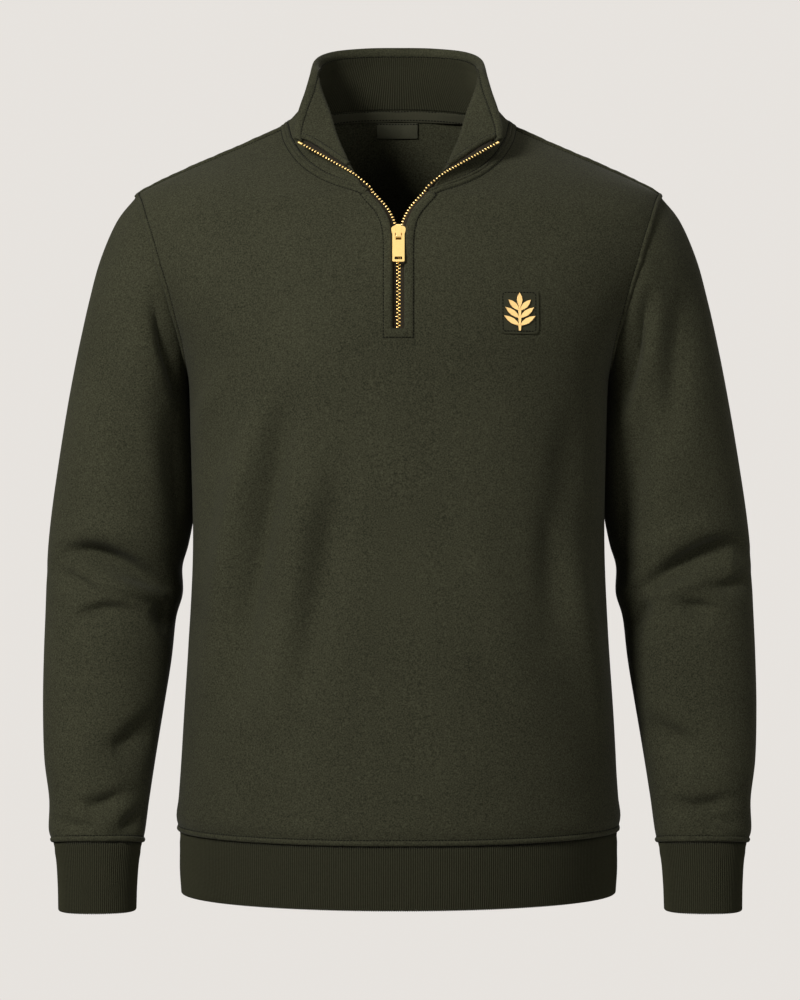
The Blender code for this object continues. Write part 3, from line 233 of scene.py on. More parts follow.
def panel_row(edge, centre, start_angle, squareness, arch, shares):
    """A quarter superellipse from a panel's edge to its centre, cut into even steps."""
    start = math.radians(start_angle)
    angles = np.linspace(start, math.pi / 2, ROW_SAMPLES)
    power = 2.0 / squareness
    across = np.cos(angles) ** power / math.cos(start) ** power
    across[-1] = 0.0
    out = (np.sin(angles) ** power - math.sin(start) ** power) / (1.0 - math.sin(start) ** power)
    row = np.empty((len(angles), 3))
    row[:, 0] = centre[0] + (edge[0] - centre[0]) * across
    row[:, 1] = edge[1] + (centre[1] - edge[1]) * out
    rise = arch * across**2 * np.sqrt(np.maximum(1.0 - across, 0.0))
    row[:, 2] = centre[2] + (edge[2] - centre[2]) * across + rise
    return even_shares(row, shares)


def mirrored(points):
    return points * np.array([-1.0, 1.0, 1.0])


def swayed(points):
    """Both sleeves hang a little to one side, the further down the more."""
    height, shift = zip(*SLEEVE_SWAY[::-1])
    return points + np.interp(points[..., 2], height, shift)[..., None] * np.array([1.0, 0.0, 0.0])


# %% [markdown]
# ## The body panels
#
# The front and the back are two grids of points. Rows run from the side to the centre, and columns
# run from the hem seam up to the shoulder seam. The cloth grid here is five to six times finer than
# that of the solids, so that folds come out round.

# %% Front and back
HALF_PANEL_COLUMNS = 54
BODY_ROWS = 70
BODY_ROW_CROWDING = 1.2
FRONT_UPPER_ROWS = 40
FRONT_NECK_ROWS = 35
BACK_UPPER_ROWS = 50
BACK_NECK_ROWS = 25
CENTRE_SAG = 6.0
EASE_ROWS = 14
EASE_COLUMNS = 10
EASE_TURNS = 90


def upper_rows(is_front):
    """Where the rows above the underarm lie in their table."""
    if is_front:
        first, below, above = FRONT_NECK_ROW, FRONT_UPPER_ROWS, FRONT_NECK_ROWS
    else:
        first, below, above = BACK_NECK_ROW, BACK_UPPER_ROWS, BACK_NECK_ROWS
    last = len(FRONT_ROWS) - 1
    return np.concatenate([np.linspace(0, first, below + 1)[:-1], np.linspace(first, last, above + 1)])


def table_rows(is_front):
    """The rows above the underarm. The centre line turns sharply at the neck, so it has two parts.

    The back neckline runs straight across the centre, so its mirrored start guides the curve there.
    """
    table = np.array(FRONT_ROWS if is_front else BACK_ROWS)
    neck_row = FRONT_NECK_ROW if is_front else BACK_NECK_ROW
    at = upper_rows(is_front)
    knots = np.arange(len(table))
    rows = smooth(knots, table, at)
    below = at < neck_row
    rows[below, 3:6] = smooth(knots[: neck_row + 1], table[: neck_row + 1, 3:6], at[below])
    places, neckline = knots[neck_row:], table[neck_row:, 3:6]
    if not is_front:
        places = np.concatenate([[neck_row - 1], places])
        neckline = np.concatenate([mirrored(neckline[1:2]), neckline])
    rows[~below, 3:6] = smooth(places, neckline, at[~below])
    return rows


def half_panel(is_front):
    """The wearer's right half of a panel, as rows from the hem seam up to the shoulder seam."""
    shares = np.linspace(0.0, 1.0, HALF_PANEL_COLUMNS + 1)
    climb = np.linspace(0.0, 1.0, BODY_ROWS + 1)[:-1] ** BODY_ROW_CROWDING
    heights = HEM_SEAM_Z + (UNDERARM_Z - HEM_SEAM_Z) * climb
    sections = np.array(BODY_SECTIONS)
    nearest_x = -SLIT_HALF_WIDTH if is_front else 0.0
    rows = []
    sections_here = smooth(sections[:, 0], sections, heights)
    for share, (height, half_width, front, back, squareness) in zip(climb, sections_here):
        centre = (nearest_x, -front if is_front else back, height - CENTRE_SAG * share**3)
        rows.append(panel_row((-half_width, 0.0, height), centre, 0.0, squareness, 0.0, shares))
    for row in table_rows(is_front):
        row[3] = min(row[3], nearest_x)
        rows.append(panel_row(row[0:3], row[3:6], *row[6:9], shares))
    return np.array(rows)


def eased(half):
    """Evens out the rows round the underarm, where two tables meet, all but the armhole's edge."""
    rows, columns = half.shape[:2]
    apart = np.abs(np.arange(rows) - BODY_ROWS) / EASE_ROWS
    by_row = np.cos(np.clip(apart, 0.0, 1.0) * math.pi / 2) ** 2
    by_column = np.clip(np.arange(columns) / EASE_COLUMNS, 0.0, 1.0)
    weight = (by_row[:, None] * by_column)[1:-1, :, None] / 2
    half = half.copy()
    for _ in range(EASE_TURNS):
        half[1:-1] += weight * ((half[:-2] + half[2:]) / 2 - half[1:-1])
    return half


front_half = eased(half_panel(True))
back_half = eased(half_panel(False))
print("front half", front_half.shape, "back half", back_half.shape)

# %% [markdown]
# ## Sleeves, cuffs and hem band
#
# A set-in sleeve starts as the armhole itself and turns into a plain tube further down. The ring of
# points at each height blends from one to the other. Rib bands are cut shorter than what they are
# sewn to, so the cuff's rings shrink from the seam to the wrist.

# %% Sleeve, cuff and hem rings
SLEEVE_RINGS = 170
CUFF_RINGS = 14
HEM_RINGS = 12


def sleeve_ring(section, angles):
    outer = np.array([section[0], section[4], section[1]])
    inner = np.array([section[2], section[4], section[3]])
    power = 2.0 / section[6]
    cosine = np.sign(np.cos(angles)) * np.abs(np.cos(angles)) ** power
    sine = np.sign(np.sin(angles)) * np.abs(np.sin(angles)) ** power
    ring = (outer + inner) / 2 + np.outer(cosine, (inner - outer) / 2)
    ring[:, 1] -= section[5] * sine
    return ring


def tilted(ring, share):
    """The cuff's seam sits higher in front than behind, on a slope that fades away from it."""
    rise = CUFF_SEAM_TILT * share * (ring[:, 1].mean() - ring[:, 1])
    return ring + rise[:, None] * np.array([0.0, 0.0, 1.0])


def sleeve_rings():
    """The wearer's right sleeve, from the armhole to the cuff seam."""
    armhole = np.concatenate([front_half[BODY_ROWS:, 0], back_half[BODY_ROWS:, 0][::-1][1:-1]])
    half = FRONT_UPPER_ROWS + FRONT_NECK_ROWS
    angles = np.arange(len(armhole)) * math.pi / half
    table = np.array(SLEEVE_SECTIONS)
    rings = []
    for at in np.linspace(0.0, len(table) - 1.0, SLEEVE_RINGS):
        ring = sleeve_ring(smooth(np.arange(len(table)), table, at)[0], angles)
        if at < ARMHOLE_FADE_SECTION:
            fade = (1.0 - at / ARMHOLE_FADE_SECTION) ** 2
            ring += fade * (armhole - sleeve_ring(table[0], angles))
        rings.append(tilted(ring, max(0.0, 1.0 - (len(table) - 1.0 - at) / CUFF_TILT_SECTIONS)))
    rings[0] = armhole
    return np.array(rings)


def cuff_rings(seam_ring):
    centre = seam_ring.mean(axis=0)
    sections = np.array(CUFF_SECTIONS)
    heights = np.linspace(-CUFF_SEAM_Z, -CUFF_BOTTOM_Z, CUFF_RINGS + 1)
    rings = [seam_ring]
    for height, width, depth, shift in smooth(-sections[:, 0], sections, heights)[1:]:
        ring = centre + (seam_ring - centre) * np.array([width, depth, 0.0])
        ring = ring + np.array([0.0, shift, height - centre[2]])
        rings.append(tilted(ring, (height - CUFF_BOTTOM_Z) / (CUFF_SEAM_Z - CUFF_BOTTOM_Z)))
    return np.array(rings)


def hem_rings(seam_ring):
    sections = np.array(HEM_SECTIONS)
    heights = np.linspace(-HEM_SEAM_Z, -HEM_BOTTOM_Z, HEM_RINGS + 1)
    rings = [seam_ring]
    for height, share in smooth(-sections[:, 0], sections, heights)[1:]:
        ring = seam_ring * np.array([share, share, 0.0])
        ring[:, 2] = height
        rings.append(ring)
    return np.array(rings)


sleeve = sleeve_rings()
cuff = cuff_rings(sleeve[-1])
whole_front = np.concatenate([front_half, mirrored(front_half)[:, ::-1]], axis=1)
whole_back = np.concatenate([back_half, mirrored(back_half)[:, ::-1]], axis=1)
back_hem = np.concatenate([back_half[0], mirrored(back_half)[0][::-1][1:]])
hem = hem_rings(np.concatenate([whole_front[0], back_hem[::-1][1:-1]]))
print("sleeve rings", sleeve.shape, "hem rings", hem.shape)

# %% [markdown]
# ## The collar
#
# This collar stands up at the back and falls open at the front. Each column of points goes up the
# stand, bends over at the roll and runs down the leaf to the rim. At the back the leaf points up, so
# the same column is a plain stand-up collar there.

# %% Collar columns
STAND_STEPS = 12
ROLL_STEPS = 6
LEAF_STEPS = 14


def bezier(start, middle, end, steps):
    t = np.linspace(0.0, 1.0, steps + 1)[:, None]
    return (1 - t) ** 2 * start + 2 * t * (1 - t) * middle + t**2 * end


def collar_column(seam, roll, rim, hollow):
    """From the seam up the hollow stand to the roll, round it, and on over the leaf to the rim."""
    stand, leaf = seam - roll, rim - roll
    low = roll + stand * min(ROLL_ROUNDING / np.linalg.norm(stand), MOST_ROUNDING_SHARE)
    high = roll + leaf * min(ROLL_ROUNDING / np.linalg.norm(leaf), MOST_ROUNDING_SHARE)
    inward = -(seam + roll) * np.array([1.0, 1.0, 0.0])
    pull = (seam + low) / 2 + 2 * hollow * inward / np.linalg.norm(inward)
    up = bezier(seam, pull, low, STAND_STEPS)
    down = high + (rim - high) * np.linspace(0.0, 1.0, LEAF_STEPS + 1)[:, None]
    return np.concatenate([up[:-1], bezier(low, roll, high, ROLL_STEPS), down[1:]])


def collar_half():
    """The collar's right half, and how far along the neckline each of its columns is."""
    behind = back_half[-BACK_NECK_ROWS - 1 :, -1]
    seam = np.concatenate([behind, front_half[-FRONT_NECK_ROWS - 1 : -1, -1][::-1]])
    lengths = distances(seam)
    shares = lengths / lengths[-1]
    table = np.array(COLLAR_SECTIONS)
    beyond_centre = table[1] * np.array([-1.0, -1.0, 1.0, 1.0, -1.0, 1.0, 1.0, 1.0])
    table = np.concatenate([[beyond_centre], table])
    columns = [
        collar_column(place, section[1:4], section[4:7], section[7])
        for place, section in zip(seam, smooth(table[:, 0], table, shares))
    ]
    return np.array(columns), shares


collar_right, collar_shares = collar_half()
whole_collar = np.concatenate([collar_right[::-1], mirrored(collar_right)[1:]])
print("collar columns", whole_collar.shape)

# %% [markdown]
# ## One sheet, then folds
#
# The grids are joined into one surface whose seam points are shared. Folds are pressed into that one
# surface, so no seam opens. Each fold is a soft trough or ridge along an arc, deepest in its middle,
# as cloth bunches at the elbow and under the arm. A fold that hangs over is steep on its upper side
# and gentle below. They are listed row by row: a worn sweatshirt keeps a few large folds in
# known places.

# %% Folds
FOLDS = {
    # start_x, start_z, middle_x, middle_z, end_x, end_z, depth, width below, width above
    ("sleeve_right", "front"): (
        (-296, -384, -256, -384, -201, -417, 18, 17, 6),
        (-290, -368, -252, -364, -206, -386, -3, 9, 11),
        (-305, -400, -284, -407, -264, -422, 6.5, 9, 5),
        (-262, -405, -236, -414, -210, -421, -6, 6, 5),
        (-284, -440, -259, -431, -234, -437, 9.5, 14, 5),
        (-216, -428, -208, -440, -203, -455, 7, 9, 6),
        (-254, -555, -238, -547, -218, -527, 10, 15, 9),
        (-278, -604, -262, -602, -240, -594, 9, 10, 6),
        (-298, -618, -284, -622, -266, -622, 4.5, 7, 5),
        (-246, -627, -236, -620, -229, -610, 7, 8, 7),
        (-217, -158, -203, -203, -188, -248, 12, 8, 8),
        (-202, -248, -194, -310, -189, -375, 9, 17, 17),
        (-262, -180, -246, -260, -226, -330, 4.5, 15, 15),
    ),
    ("sleeve_right", "back"): (
        (-222, -175, -208, -235, -196, -320, 7, 12, 12),
        (-308, -400, -262, -384, -214, -372, 7, 13, 7),
        (-300, -455, -262, -452, -225, -438, 5, 12, 7),
        (-298, -600, -268, -606, -238, -604, 5, 10, 7),
    ),
    ("sleeve_left", "front"): (
        (302, -376, 266, -381, 212, -417, 18, 17, 6),
        (292, -360, 256, -363, 214, -388, -3, 9, 11),
        (314, -402, 297, -410, 276, -413, 6.5, 9, 5),
        (272, -403, 248, -413, 222, -422, -6, 6, 5),
        (283, -434, 265, -429, 247, -430, 9, 14, 5),
        (222, -426, 213, -438, 207, -452, 7, 9, 6),
        (262, -552, 244, -544, 222, -534, 9, 15, 9),
        (290, -598, 268, -604, 244, -603, 9, 10, 6),
        (300, -622, 284, -617, 266, -620, 5, 7, 5),
        (221, -158, 207, -203, 191, -252, 14, 9, 9),
        (211, -245, 205, -312, 196, -378, 14, 20, 20),
        (252, -146, 247, -205, 238, -275, 8, 14, 14),
    ),
    ("sleeve_left", "back"): (
        (222, -175, 208, -235, 196, -320, 7, 12, 12),
        (310, -390, 262, -380, 214, -380, 7, 13, 7),
        (298, -462, 262, -454, 226, -434, 5, 12, 7),
        (300, -606, 270, -602, 240, -598, 5, 10, 7),
    ),
    ("front_panel", "front"): (
        (-118, -258, -143, -350, -166, -500, -7, 12, 12),
        (-95, -258, -117, -350, -144, -510, 15, 13, 13),
        (-150, -268, -168, -345, -182, -440, 4, 12, 12),
        (-150, -226, -164, -250, -178, -276, -5, 9, 9),
        (-78, -320, -90, -400, -110, -535, -6, 14, 14),
        (-50, -300, -61, -385, -82, -490, 9, 15, 15),
        (136, -325, 160, -440, 184, -560, -7, 12, 15),
        (150, -270, 138, -360, 134, -455, 8, 16, 16),
        (60, -340, 84, -430, 118, -520, -3, 18, 18),
        (-70, -470, -30, -530, 20, -600, 2.5, 34, 34),
    ),
    ("back_panel", "back"): (
        (-140, -330, -105, -390, -60, -430, -5, 28, 20),
        (135, -350, 105, -405, 70, -450, -5, 28, 20),
        (-172, -245, -158, -215, -140, -190, 5, 18, 18),
        (172, -245, 158, -215, 140, -190, 5, 18, 18),
    ),
}
CREASE_END_SHARE = 0.3
CREASE_CREST_SHARE = 0.3
CREASE_FACING_GAIN = 1.6
CREASE_FACING_FROM = 0.15
CONTACT_GAP = 0.4
CONTACT_FADE = 10.0
ARC_SAMPLES = 60


def grid_normals(points, closed=False):
    """Unit normals of one grid, from its own steps along rows and columns."""
    if closed:
        along = np.roll(points, -1, axis=1) - np.roll(points, 1, axis=1)
    else:
        along = np.gradient(points, axis=1)
    return unit(np.cross(along, np.gradient(points, axis=0)))


class Cloth:
    """Every grid of the garment, as rows of numbers into one shared list of points."""

    def __init__(self, grids):
        places = np.concatenate([grid.reshape(-1, 3) for grid in grids.values()])
        _, first, inverse = np.unique(np.round(places, 3), axis=0, return_index=True, return_inverse=True)
        self.points = places[first]
        self.ids = {}
        start = 0
        for name, grid in grids.items():
            count = grid.shape[0] * grid.shape[1]
            self.ids[name] = inverse.reshape(-1)[start : start + count].reshape(grid.shape[:2])
            start += count

    def grid(self, name):
        return self.points[self.ids[name]]


CLOSED = ("sleeve_right", "sleeve_left", "cuff_right", "cuff_left", "hem_band")
FLIPPED = ("back_panel", "sleeve_left", "cuff_left", "hem_band")
cloth = Cloth(
    {
        "front_panel": whole_front,
        "back_panel": whole_back,
        "sleeve_right": swayed(sleeve),
        "sleeve_left": swayed(mirrored(sleeve)),
        "cuff_right": swayed(cuff),
        "cuff_left": swayed(mirrored(cuff)),
        "hem_band": hem,
        "collar": whole_collar,
    }
)


def normals_of(name):
    """Outward unit normals of one piece's grid. The two halves of a panel are apart at the neck."""
    points = cloth.grid(name)
    if name in ("front_panel", "back_panel"):
        halves = np.split(points, 2, axis=1)
        normals = np.concatenate([grid_normals(half) for half in halves], axis=1)
    else:
        normals = grid_normals(points, closed=name in CLOSED)
    return -normals if name in FLIPPED else normals


def shared_normals():
    """One normal for each shared point, so that the walls of two pieces meet at their seam."""
    total = np.zeros_like(cloth.points)
    for name, ids in cloth.ids.items():
        np.add.at(total, ids.reshape(-1), normals_of(name).reshape(-1, 3))
    return unit(total)


def press_folds():
    """Moves the shared points in or out along their normals, across each trough and ridge."""
    total = shared_normals()
    moves = np.zeros(len(cloth.points))
    for (piece, side), folds in FOLDS.items():
        ids = np.unique(cloth.ids[piece])
        facing = -total[ids, 1] if side == "front" else total[ids, 1]
        weight = np.clip(facing * CREASE_FACING_GAIN + CREASE_FACING_FROM, 0.0, 1.0)
        for x1, z1, x2, z2, x3, z3, depth, below, above in folds:
            start, middle, end = np.array([x1, z1]), np.array([x2, z2]), np.array([x3, z3])
            arc = bezier(start, 2 * middle - (start + end) / 2, end, ARC_SAMPLES)
            offsets = cloth.points[ids][:, None, [0, 2]] - arc
            apart = np.linalg.norm(offsets, axis=2)
            nearest = apart.argmin(axis=1)
            share = nearest / ARC_SAMPLES
            along = np.gradient(arc, axis=0)
            upwards = np.stack([-along[:, 1], along[:, 0]], axis=1) * np.where(along[:, :1] < 0.0, -1.0, 1.0)
            height = (offsets[np.arange(len(ids)), nearest] * unit(upwards)[nearest]).sum(axis=1)
            blend = 0.5 + 0.5 * np.tanh(height / (CREASE_CREST_SHARE * (above + below) / 2))
            half_width = below + (above - below) * blend
            taper = CREASE_END_SHARE + (1 - CREASE_END_SHARE) * np.sin(math.pi * share)
            moves[ids] -= depth * taper * weight * np.exp(-((apart.min(axis=1) / half_width) ** 2))
    cloth.points += total * moves[:, None]


def press_sleeves():
    """Flattens the sleeves where they touch the body's sides, so that no light comes between them."""
    sections = np.array(BODY_SECTIONS)
    for name, side in (("sleeve_right", -1.0), ("sleeve_left", 1.0)):
        ids = np.unique(cloth.ids[name])
        x, y, z = cloth.points[ids].T
        _, half_width, front, back, squareness = smooth(sections[:, 0], sections, z).T
        inward = np.clip(np.abs(y) / np.where(y < 0, front, back), 0.0, 1.0)
        body_x = half_width * (1.0 - inward**squareness) ** (1.0 / squareness)
        clearance = (CLOTH_WALL + CONTACT_GAP) * np.clip((UNDERARM_Z - z) / CONTACT_FADE, 0.0, 1.0)
        touching = z < UNDERARM_Z
        cloth.points[ids, 0] = np.where(touching, side * np.maximum(side * x, body_x + clearance), x)


press_folds()
press_sleeves()
print("points in the cloth", len(cloth.points))

# %% [markdown]
# ## Finishes
#
# Each finish is a small tree of nodes. A helper class lets sockets be added and multiplied like
# numbers, so that a pattern can be read as a formula. All patterns are procedural: brushed fleece is
# two sizes of noise over fine knit courses, and rib knit has painted shade in the grooves between
# its ribs.

# %% A helper for node trees


class Wire:
    """A socket of a material's tree, with arithmetic that adds the nodes for it."""

    def __init__(self, tree, socket):
        self.tree = tree
        self.socket = socket

    @classmethod
    def put(cls, tree, kind, settings, values, output=0):
        """Adds any node: its type, its settings, then the values or links of its sockets."""
        node = tree.nodes.new(kind)
        for name, value in settings.items():
            setattr(node, name, value)
        for name, value in values.items():
            socket = node.inputs[name]
            if isinstance(value, Wire):
                tree.links.new(value.socket, socket)
            else:
                socket.default_value = value
        return cls(tree, node.outputs[output])

    def math(self, operation, first, second=0.0):
        return Wire.put(self.tree, "ShaderNodeMath", {"operation": operation}, {0: first, 1: second})

    def sine(self):
        return self.math("SINE", self)

    def power(self, exponent):
        return self.math("POWER", self, exponent)

    def clamped(self):
        return Wire.put(self.tree, "ShaderNodeClamp", {}, {"Value": self})

    def part(self, axis):
        """One of the three numbers of a vector."""
        return Wire.put(self.tree, "ShaderNodeSeparateXYZ", {}, {0: self}, output=axis)

    def mix(self, first, second):
        """A colour between two, by this wire's value."""
        settings = {"data_type": "RGBA", "blend_type": "MIX"}
        values = {0: self, 6: first, 7: second}
        return Wire.put(self.tree, "ShaderNodeMix", settings, values, output=2)

    def noise(self, scale, detail):
        """Noise at the places that this wire gives, in pieces a metre."""
        values = {"Vector": self, "Scale": scale, "Detail": detail}
        return Wire.put(self.tree, "ShaderNodeTexNoise", {}, values)


for sign, kind in (("add", "ADD"), ("sub", "SUBTRACT"), ("mul", "MULTIPLY")):
    setattr(Wire, f"__{sign}__", lambda self, other, kind=kind: self.math(kind, self, other))
    setattr(Wire, f"__r{sign}__", lambda self, other, kind=kind: self.math(kind, other, self))

SHEEN_ROUGHNESS = 0.45
CLOTH_SPECULAR = 0.05
METAL_SPECULAR = 0.5


class Finish:
    """A material with its constants set, and the wires that its patterns start from."""

    def __init__(self, name, roughness, metallic=0.0, sheen=0.0):
        self.material = bpy.data.materials.new(name)
        self.material.use_nodes = True
        self.tree = self.material.node_tree
        self.inputs = self.tree.nodes["Principled BSDF"].inputs
        constants = {
            "Roughness": roughness,
            "Metallic": metallic,
            "Sheen Weight": sheen,
            "Sheen Roughness": SHEEN_ROUGHNESS,
            "Specular IOR Level": METAL_SPECULAR if metallic else CLOTH_SPECULAR,
        }
        for socket, value in constants.items():
            self.inputs[socket].default_value = value
        self.places = self.coordinates("Object")

    def coordinates(self, kind):
        return Wire.put(self.tree, "ShaderNodeTexCoord", {}, {}, output=kind)

    def link(self, socket, wire):
        self.tree.links.new(wire.socket, self.inputs[socket])

    def shade(self, colour, height=None, distance=0.0003, strength=0.6):
        """Links a colour and a bump to the shader, and returns the finished material."""
        self.link("Base Color", colour)
        if height is not None:
            values = {"Strength": strength, "Distance": distance, "Height": height}
            self.link("Normal", Wire.put(self.tree, "ShaderNodeBump", {}, values))
        return self.material


def tint(colour, share):
    return tuple(min(1.0, channel * share) for channel in colour) + (1.0,)


TURN = 2 * math.pi

# %% [markdown]
# ### Fleece-back sweatshirt knit
#
# Up close the cloth is a plain knit, brushed and slightly heathered. Large soft clouds keep a big
# panel from looking printed, fine grain gives the heather, and the sheen layer gives the pale nap
# that brushed cotton shows where it turns away.

# %% Fleece, rib knit and tapes
OLIVE = (0.050, 0.0500, 0.0295)
RIB_OLIVE = (0.039, 0.0385, 0.0225)
COURSE_PITCH = 0.0011
WALE_PITCH = 0.0009


def fleece_finish(name):
    finish = Finish(name, roughness=0.93, sheen=0.04)
    uv = finish.coordinates("UV")
    clouds = finish.places.noise(11.0, 3.0)
    heather = finish.places.noise(800.0, 2.0)
    fuzz = finish.places.noise(1900.0, 3.0)
    knit = (uv.part(1) * (TURN / COURSE_PITCH)).sine() * (uv.part(0) * (TURN / WALE_PITCH)).sine()
    value = clouds * 0.40 + heather * 2.0 + fuzz * 0.35 + knit * 0.03 - 0.88
    colour = value.clamped().mix(tint(OLIVE, 0.45), tint(OLIVE, 1.55))
    return finish.shade(colour, fuzz * 0.7 + knit * 0.3)


def rib_finish(name, colour):
    """UV x counts the ribs, and UV y runs down them in metres."""
    finish = Finish(name, roughness=0.95, sheen=0.03)
    uv = finish.coordinates("UV")
    # painted shade: the colour is darkened in the grooves between the ribs
    hollow = (0.5 - (uv.part(0) * TURN + math.pi / 2).sine() * 0.5).power(1.6)
    heather = finish.places.noise(620.0, 2.0)
    courses = (uv.part(1) * (TURN / COURSE_PITCH)).sine()
    value = (0.50 + heather * 0.28 - hollow * 0.55 + courses * 0.03).clamped()
    return finish.shade(value.mix(tint(colour, 0.40), tint(colour, 1.65)), courses * 0.4 + heather * 0.6)


def woven_finish(name, colour, pitch, roughness=0.85, slant=1.0):
    """A twill: fine diagonal lines across the piece."""
    finish = Finish(name, roughness, sheen=0.03)
    twill = ((finish.places.part(0) + finish.places.part(2) * slant) * (TURN / pitch)).sine()
    grain = finish.places.noise(800.0, 2.0)
    value = (0.35 + grain * 0.3 + twill * 0.16).clamped()
    return finish.shade(value.mix(tint(colour, 0.55), tint(colour, 1.5)), twill * 0.6 + grain * 0.4)


def gold_finish(name, colour, least_rough):
    """Polished brass plate, a little worn: fine scratches and a soft variation in its roughness."""
    finish = Finish(name, roughness=0.3, metallic=1.0)
    wear = finish.places.noise(160.0, 3.0)
    scratches = finish.places.noise(2600.0, 2.0)
    finish.link("Roughness", least_rough + wear * 0.1)
    return finish.shade(wear.mix(tint(colour, 0.9), tint(colour, 1.1)), scratches, 0.00002, 0.2)


FLEECE = fleece_finish("fleece_olive")
RIB = rib_finish("rib_olive", RIB_OLIVE)
TAPE = woven_finish("tape_olive", (0.066, 0.065, 0.041), 0.0011)
LABEL = woven_finish("label_olive", (0.080, 0.080, 0.052), 0.0007, roughness=0.6, slant=0.0)
# brown tape with painted shade: it is darkened further, so that where it shows in the gap under the collar's
# facings it reads as shade
ZIP_TAPE_WITH_PAINTED_SHADE = woven_finish("zip_tape_brown_painted_shade", (0.036, 0.030, 0.020), 0.0009)
PATCH = woven_finish("patch_olive", (0.050, 0.050, 0.030), 0.0013, roughness=0.8, slant=-1.0)
# painted shade: the thread is much darker than the cloth, so its stitches also paint the shadow of the
# groove at the foot of each welt
THREAD_WITH_PAINTED_SHADE = woven_finish("thread_with_painted_groove_shade", (0.011, 0.011, 0.007), 0.0005, roughness=0.8)
GOLD = gold_finish("gold_plate", (0.92, 0.65, 0.25), 0.16)
SATIN_GOLD = gold_finish("gold_satin", (0.70, 0.47, 0.19), 0.38)
print("finishes:", [material.name for material in bpy.data.materials if material.use_nodes])

# %% [markdown]
# ## Walls
#
# A piece of cloth is a thin closed wall: an outer face, an inner face and a rim. Each grid of points
# gives both faces, moved out and in along the surface's normals. The UV map holds real metres along
# the cloth, so that knit courses keep their size on every piece.

# %% From grids to walls


class Shell:
    """Collects points, faces and their UV corners for one mesh."""

    def __init__(self):
        self.points, self.faces, self.uvs = [], [], []
        self.count = 0

    def add(self, points, faces, corner_uvs):
        self.points.append(np.asarray(points, float).reshape(-1, 3))
        self.faces += (np.asarray(faces) + self.count).tolist()
        self.uvs.append(np.asarray(corner_uvs, float).reshape(-1, 2))
        self.count += len(self.points[-1])

    def add_cap(self, ring_ids, uv):
        """One flat face over points that are already in."""
        self.faces.append([int(index) for index in ring_ids])
        self.uvs.append(np.tile(uv, (len(ring_ids), 1)))

    def object(self, node, material, slot):
        """One smooth piece of cloth, which takes the place of a solid."""
        name = node + "_cloth"
        mesh = bpy.data.meshes.new(name)
        mesh.from_pydata((np.concatenate(self.points) * MM).tolist(), [], self.faces)
        layer = mesh.uv_layers.new(name="UVMap")
        layer.data.foreach_set("uv", np.concatenate(self.uvs).astype(np.float32).ravel())
        shell = bmesh.new()
        shell.from_mesh(mesh)
        bmesh.ops.recalc_face_normals(shell, faces=shell.faces)
        shell.to_mesh(mesh)
        shell.free()
        mesh.shade_smooth()
        mesh.materials.append(material)
        return place(bpy.data.objects.new(name, mesh), slot, node)


def link(piece):
    bpy.context.scene.collection.objects.link(piece)


def place(piece, slot, node=None, body="garment"):
    """Links a finished piece, lets it ride on its body and puts it in the place of its solid."""
    link(piece)
    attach(piece, body)
    if node:
        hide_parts(node)
    return piece


def lengths_along(points, axis, closed=False):
    """How far each point of a grid is along its row or column, in metres."""
    if closed:
        points = np.concatenate([points, points[:, :1]], axis=1)
    steps = np.linalg.norm(np.diff(points, axis=axis), axis=-1)
    start = np.zeros_like(np.take(steps, [0], axis=axis))
    return np.concatenate([start, np.cumsum(steps, axis=axis)], axis=axis) * MM


def grid_cells(rows, columns, closed=False, keep=None):
    """Row and column of the four corners of each cell; a closed grid's last cell ends at column 0."""
    cells = columns if closed else columns - 1
    row, column = np.meshgrid(np.arange(rows - 1), np.arange(cells), indexing="ij")
    if keep is not None:
        row, column = row[keep], column[keep]
    row, column = row.reshape(-1), column.reshape(-1)
    corner_rows = np.stack([row, row, row + 1, row + 1], axis=1)
    return corner_rows, np.stack([column, column + 1, column + 1, column], axis=1)


def add_wall(shell, points, normals, out, inside, closed=False, keep=None, ids=None, relief=0.0, uv=None):
    """Adds a wall over a grid. Ids say which of its points are one and the same."""
    rows, columns = points.shape[:2]
    ids = np.arange(rows * columns).reshape(rows, columns) if ids is None else ids
    row, column = grid_cells(rows, columns, closed, keep)
    if uv is None:
        across, up = lengths_along(points, 1, closed), lengths_along(points, 0)
        uv = np.stack([across[row, column], up[row, column % columns]], axis=-1)
    quads = ids[row, column % columns]
    used, first = np.unique(ids.reshape(-1), return_index=True)
    local = np.searchsorted(used, quads)
    count = len(used)
    flat, upright = points.reshape(-1, 3)[first], normals.reshape(-1, 3)[first]
    lift = np.broadcast_to(relief, (rows, columns)).reshape(-1)[first]
    outer = flat + upright * (out + lift)[:, None]
    inner = flat + upright * inside
    edges = np.concatenate([local[:, [k, (k + 1) % 4]] for k in range(4)])
    edge_uvs = np.concatenate([uv[:, [k, (k + 1) % 4]] for k in range(4)])
    _, where, uses = np.unique(np.sort(edges, axis=1), axis=0, return_index=True, return_counts=True)
    rim, rim_uv = edges[where[uses == 1]], edge_uvs[where[uses == 1]]
    rim_quads = np.stack([rim[:, 1], rim[:, 0], rim[:, 0] + count, rim[:, 1] + count], axis=1)
    rim_uvs = np.stack([rim_uv[:, 1], rim_uv[:, 0], rim_uv[:, 0], rim_uv[:, 1]], axis=1)
    faces = np.concatenate([local, local[:, ::-1] + count, rim_quads])
    shell.add(np.concatenate([outer, inner]), faces, np.concatenate([uv, uv[:, ::-1], rim_uvs]))


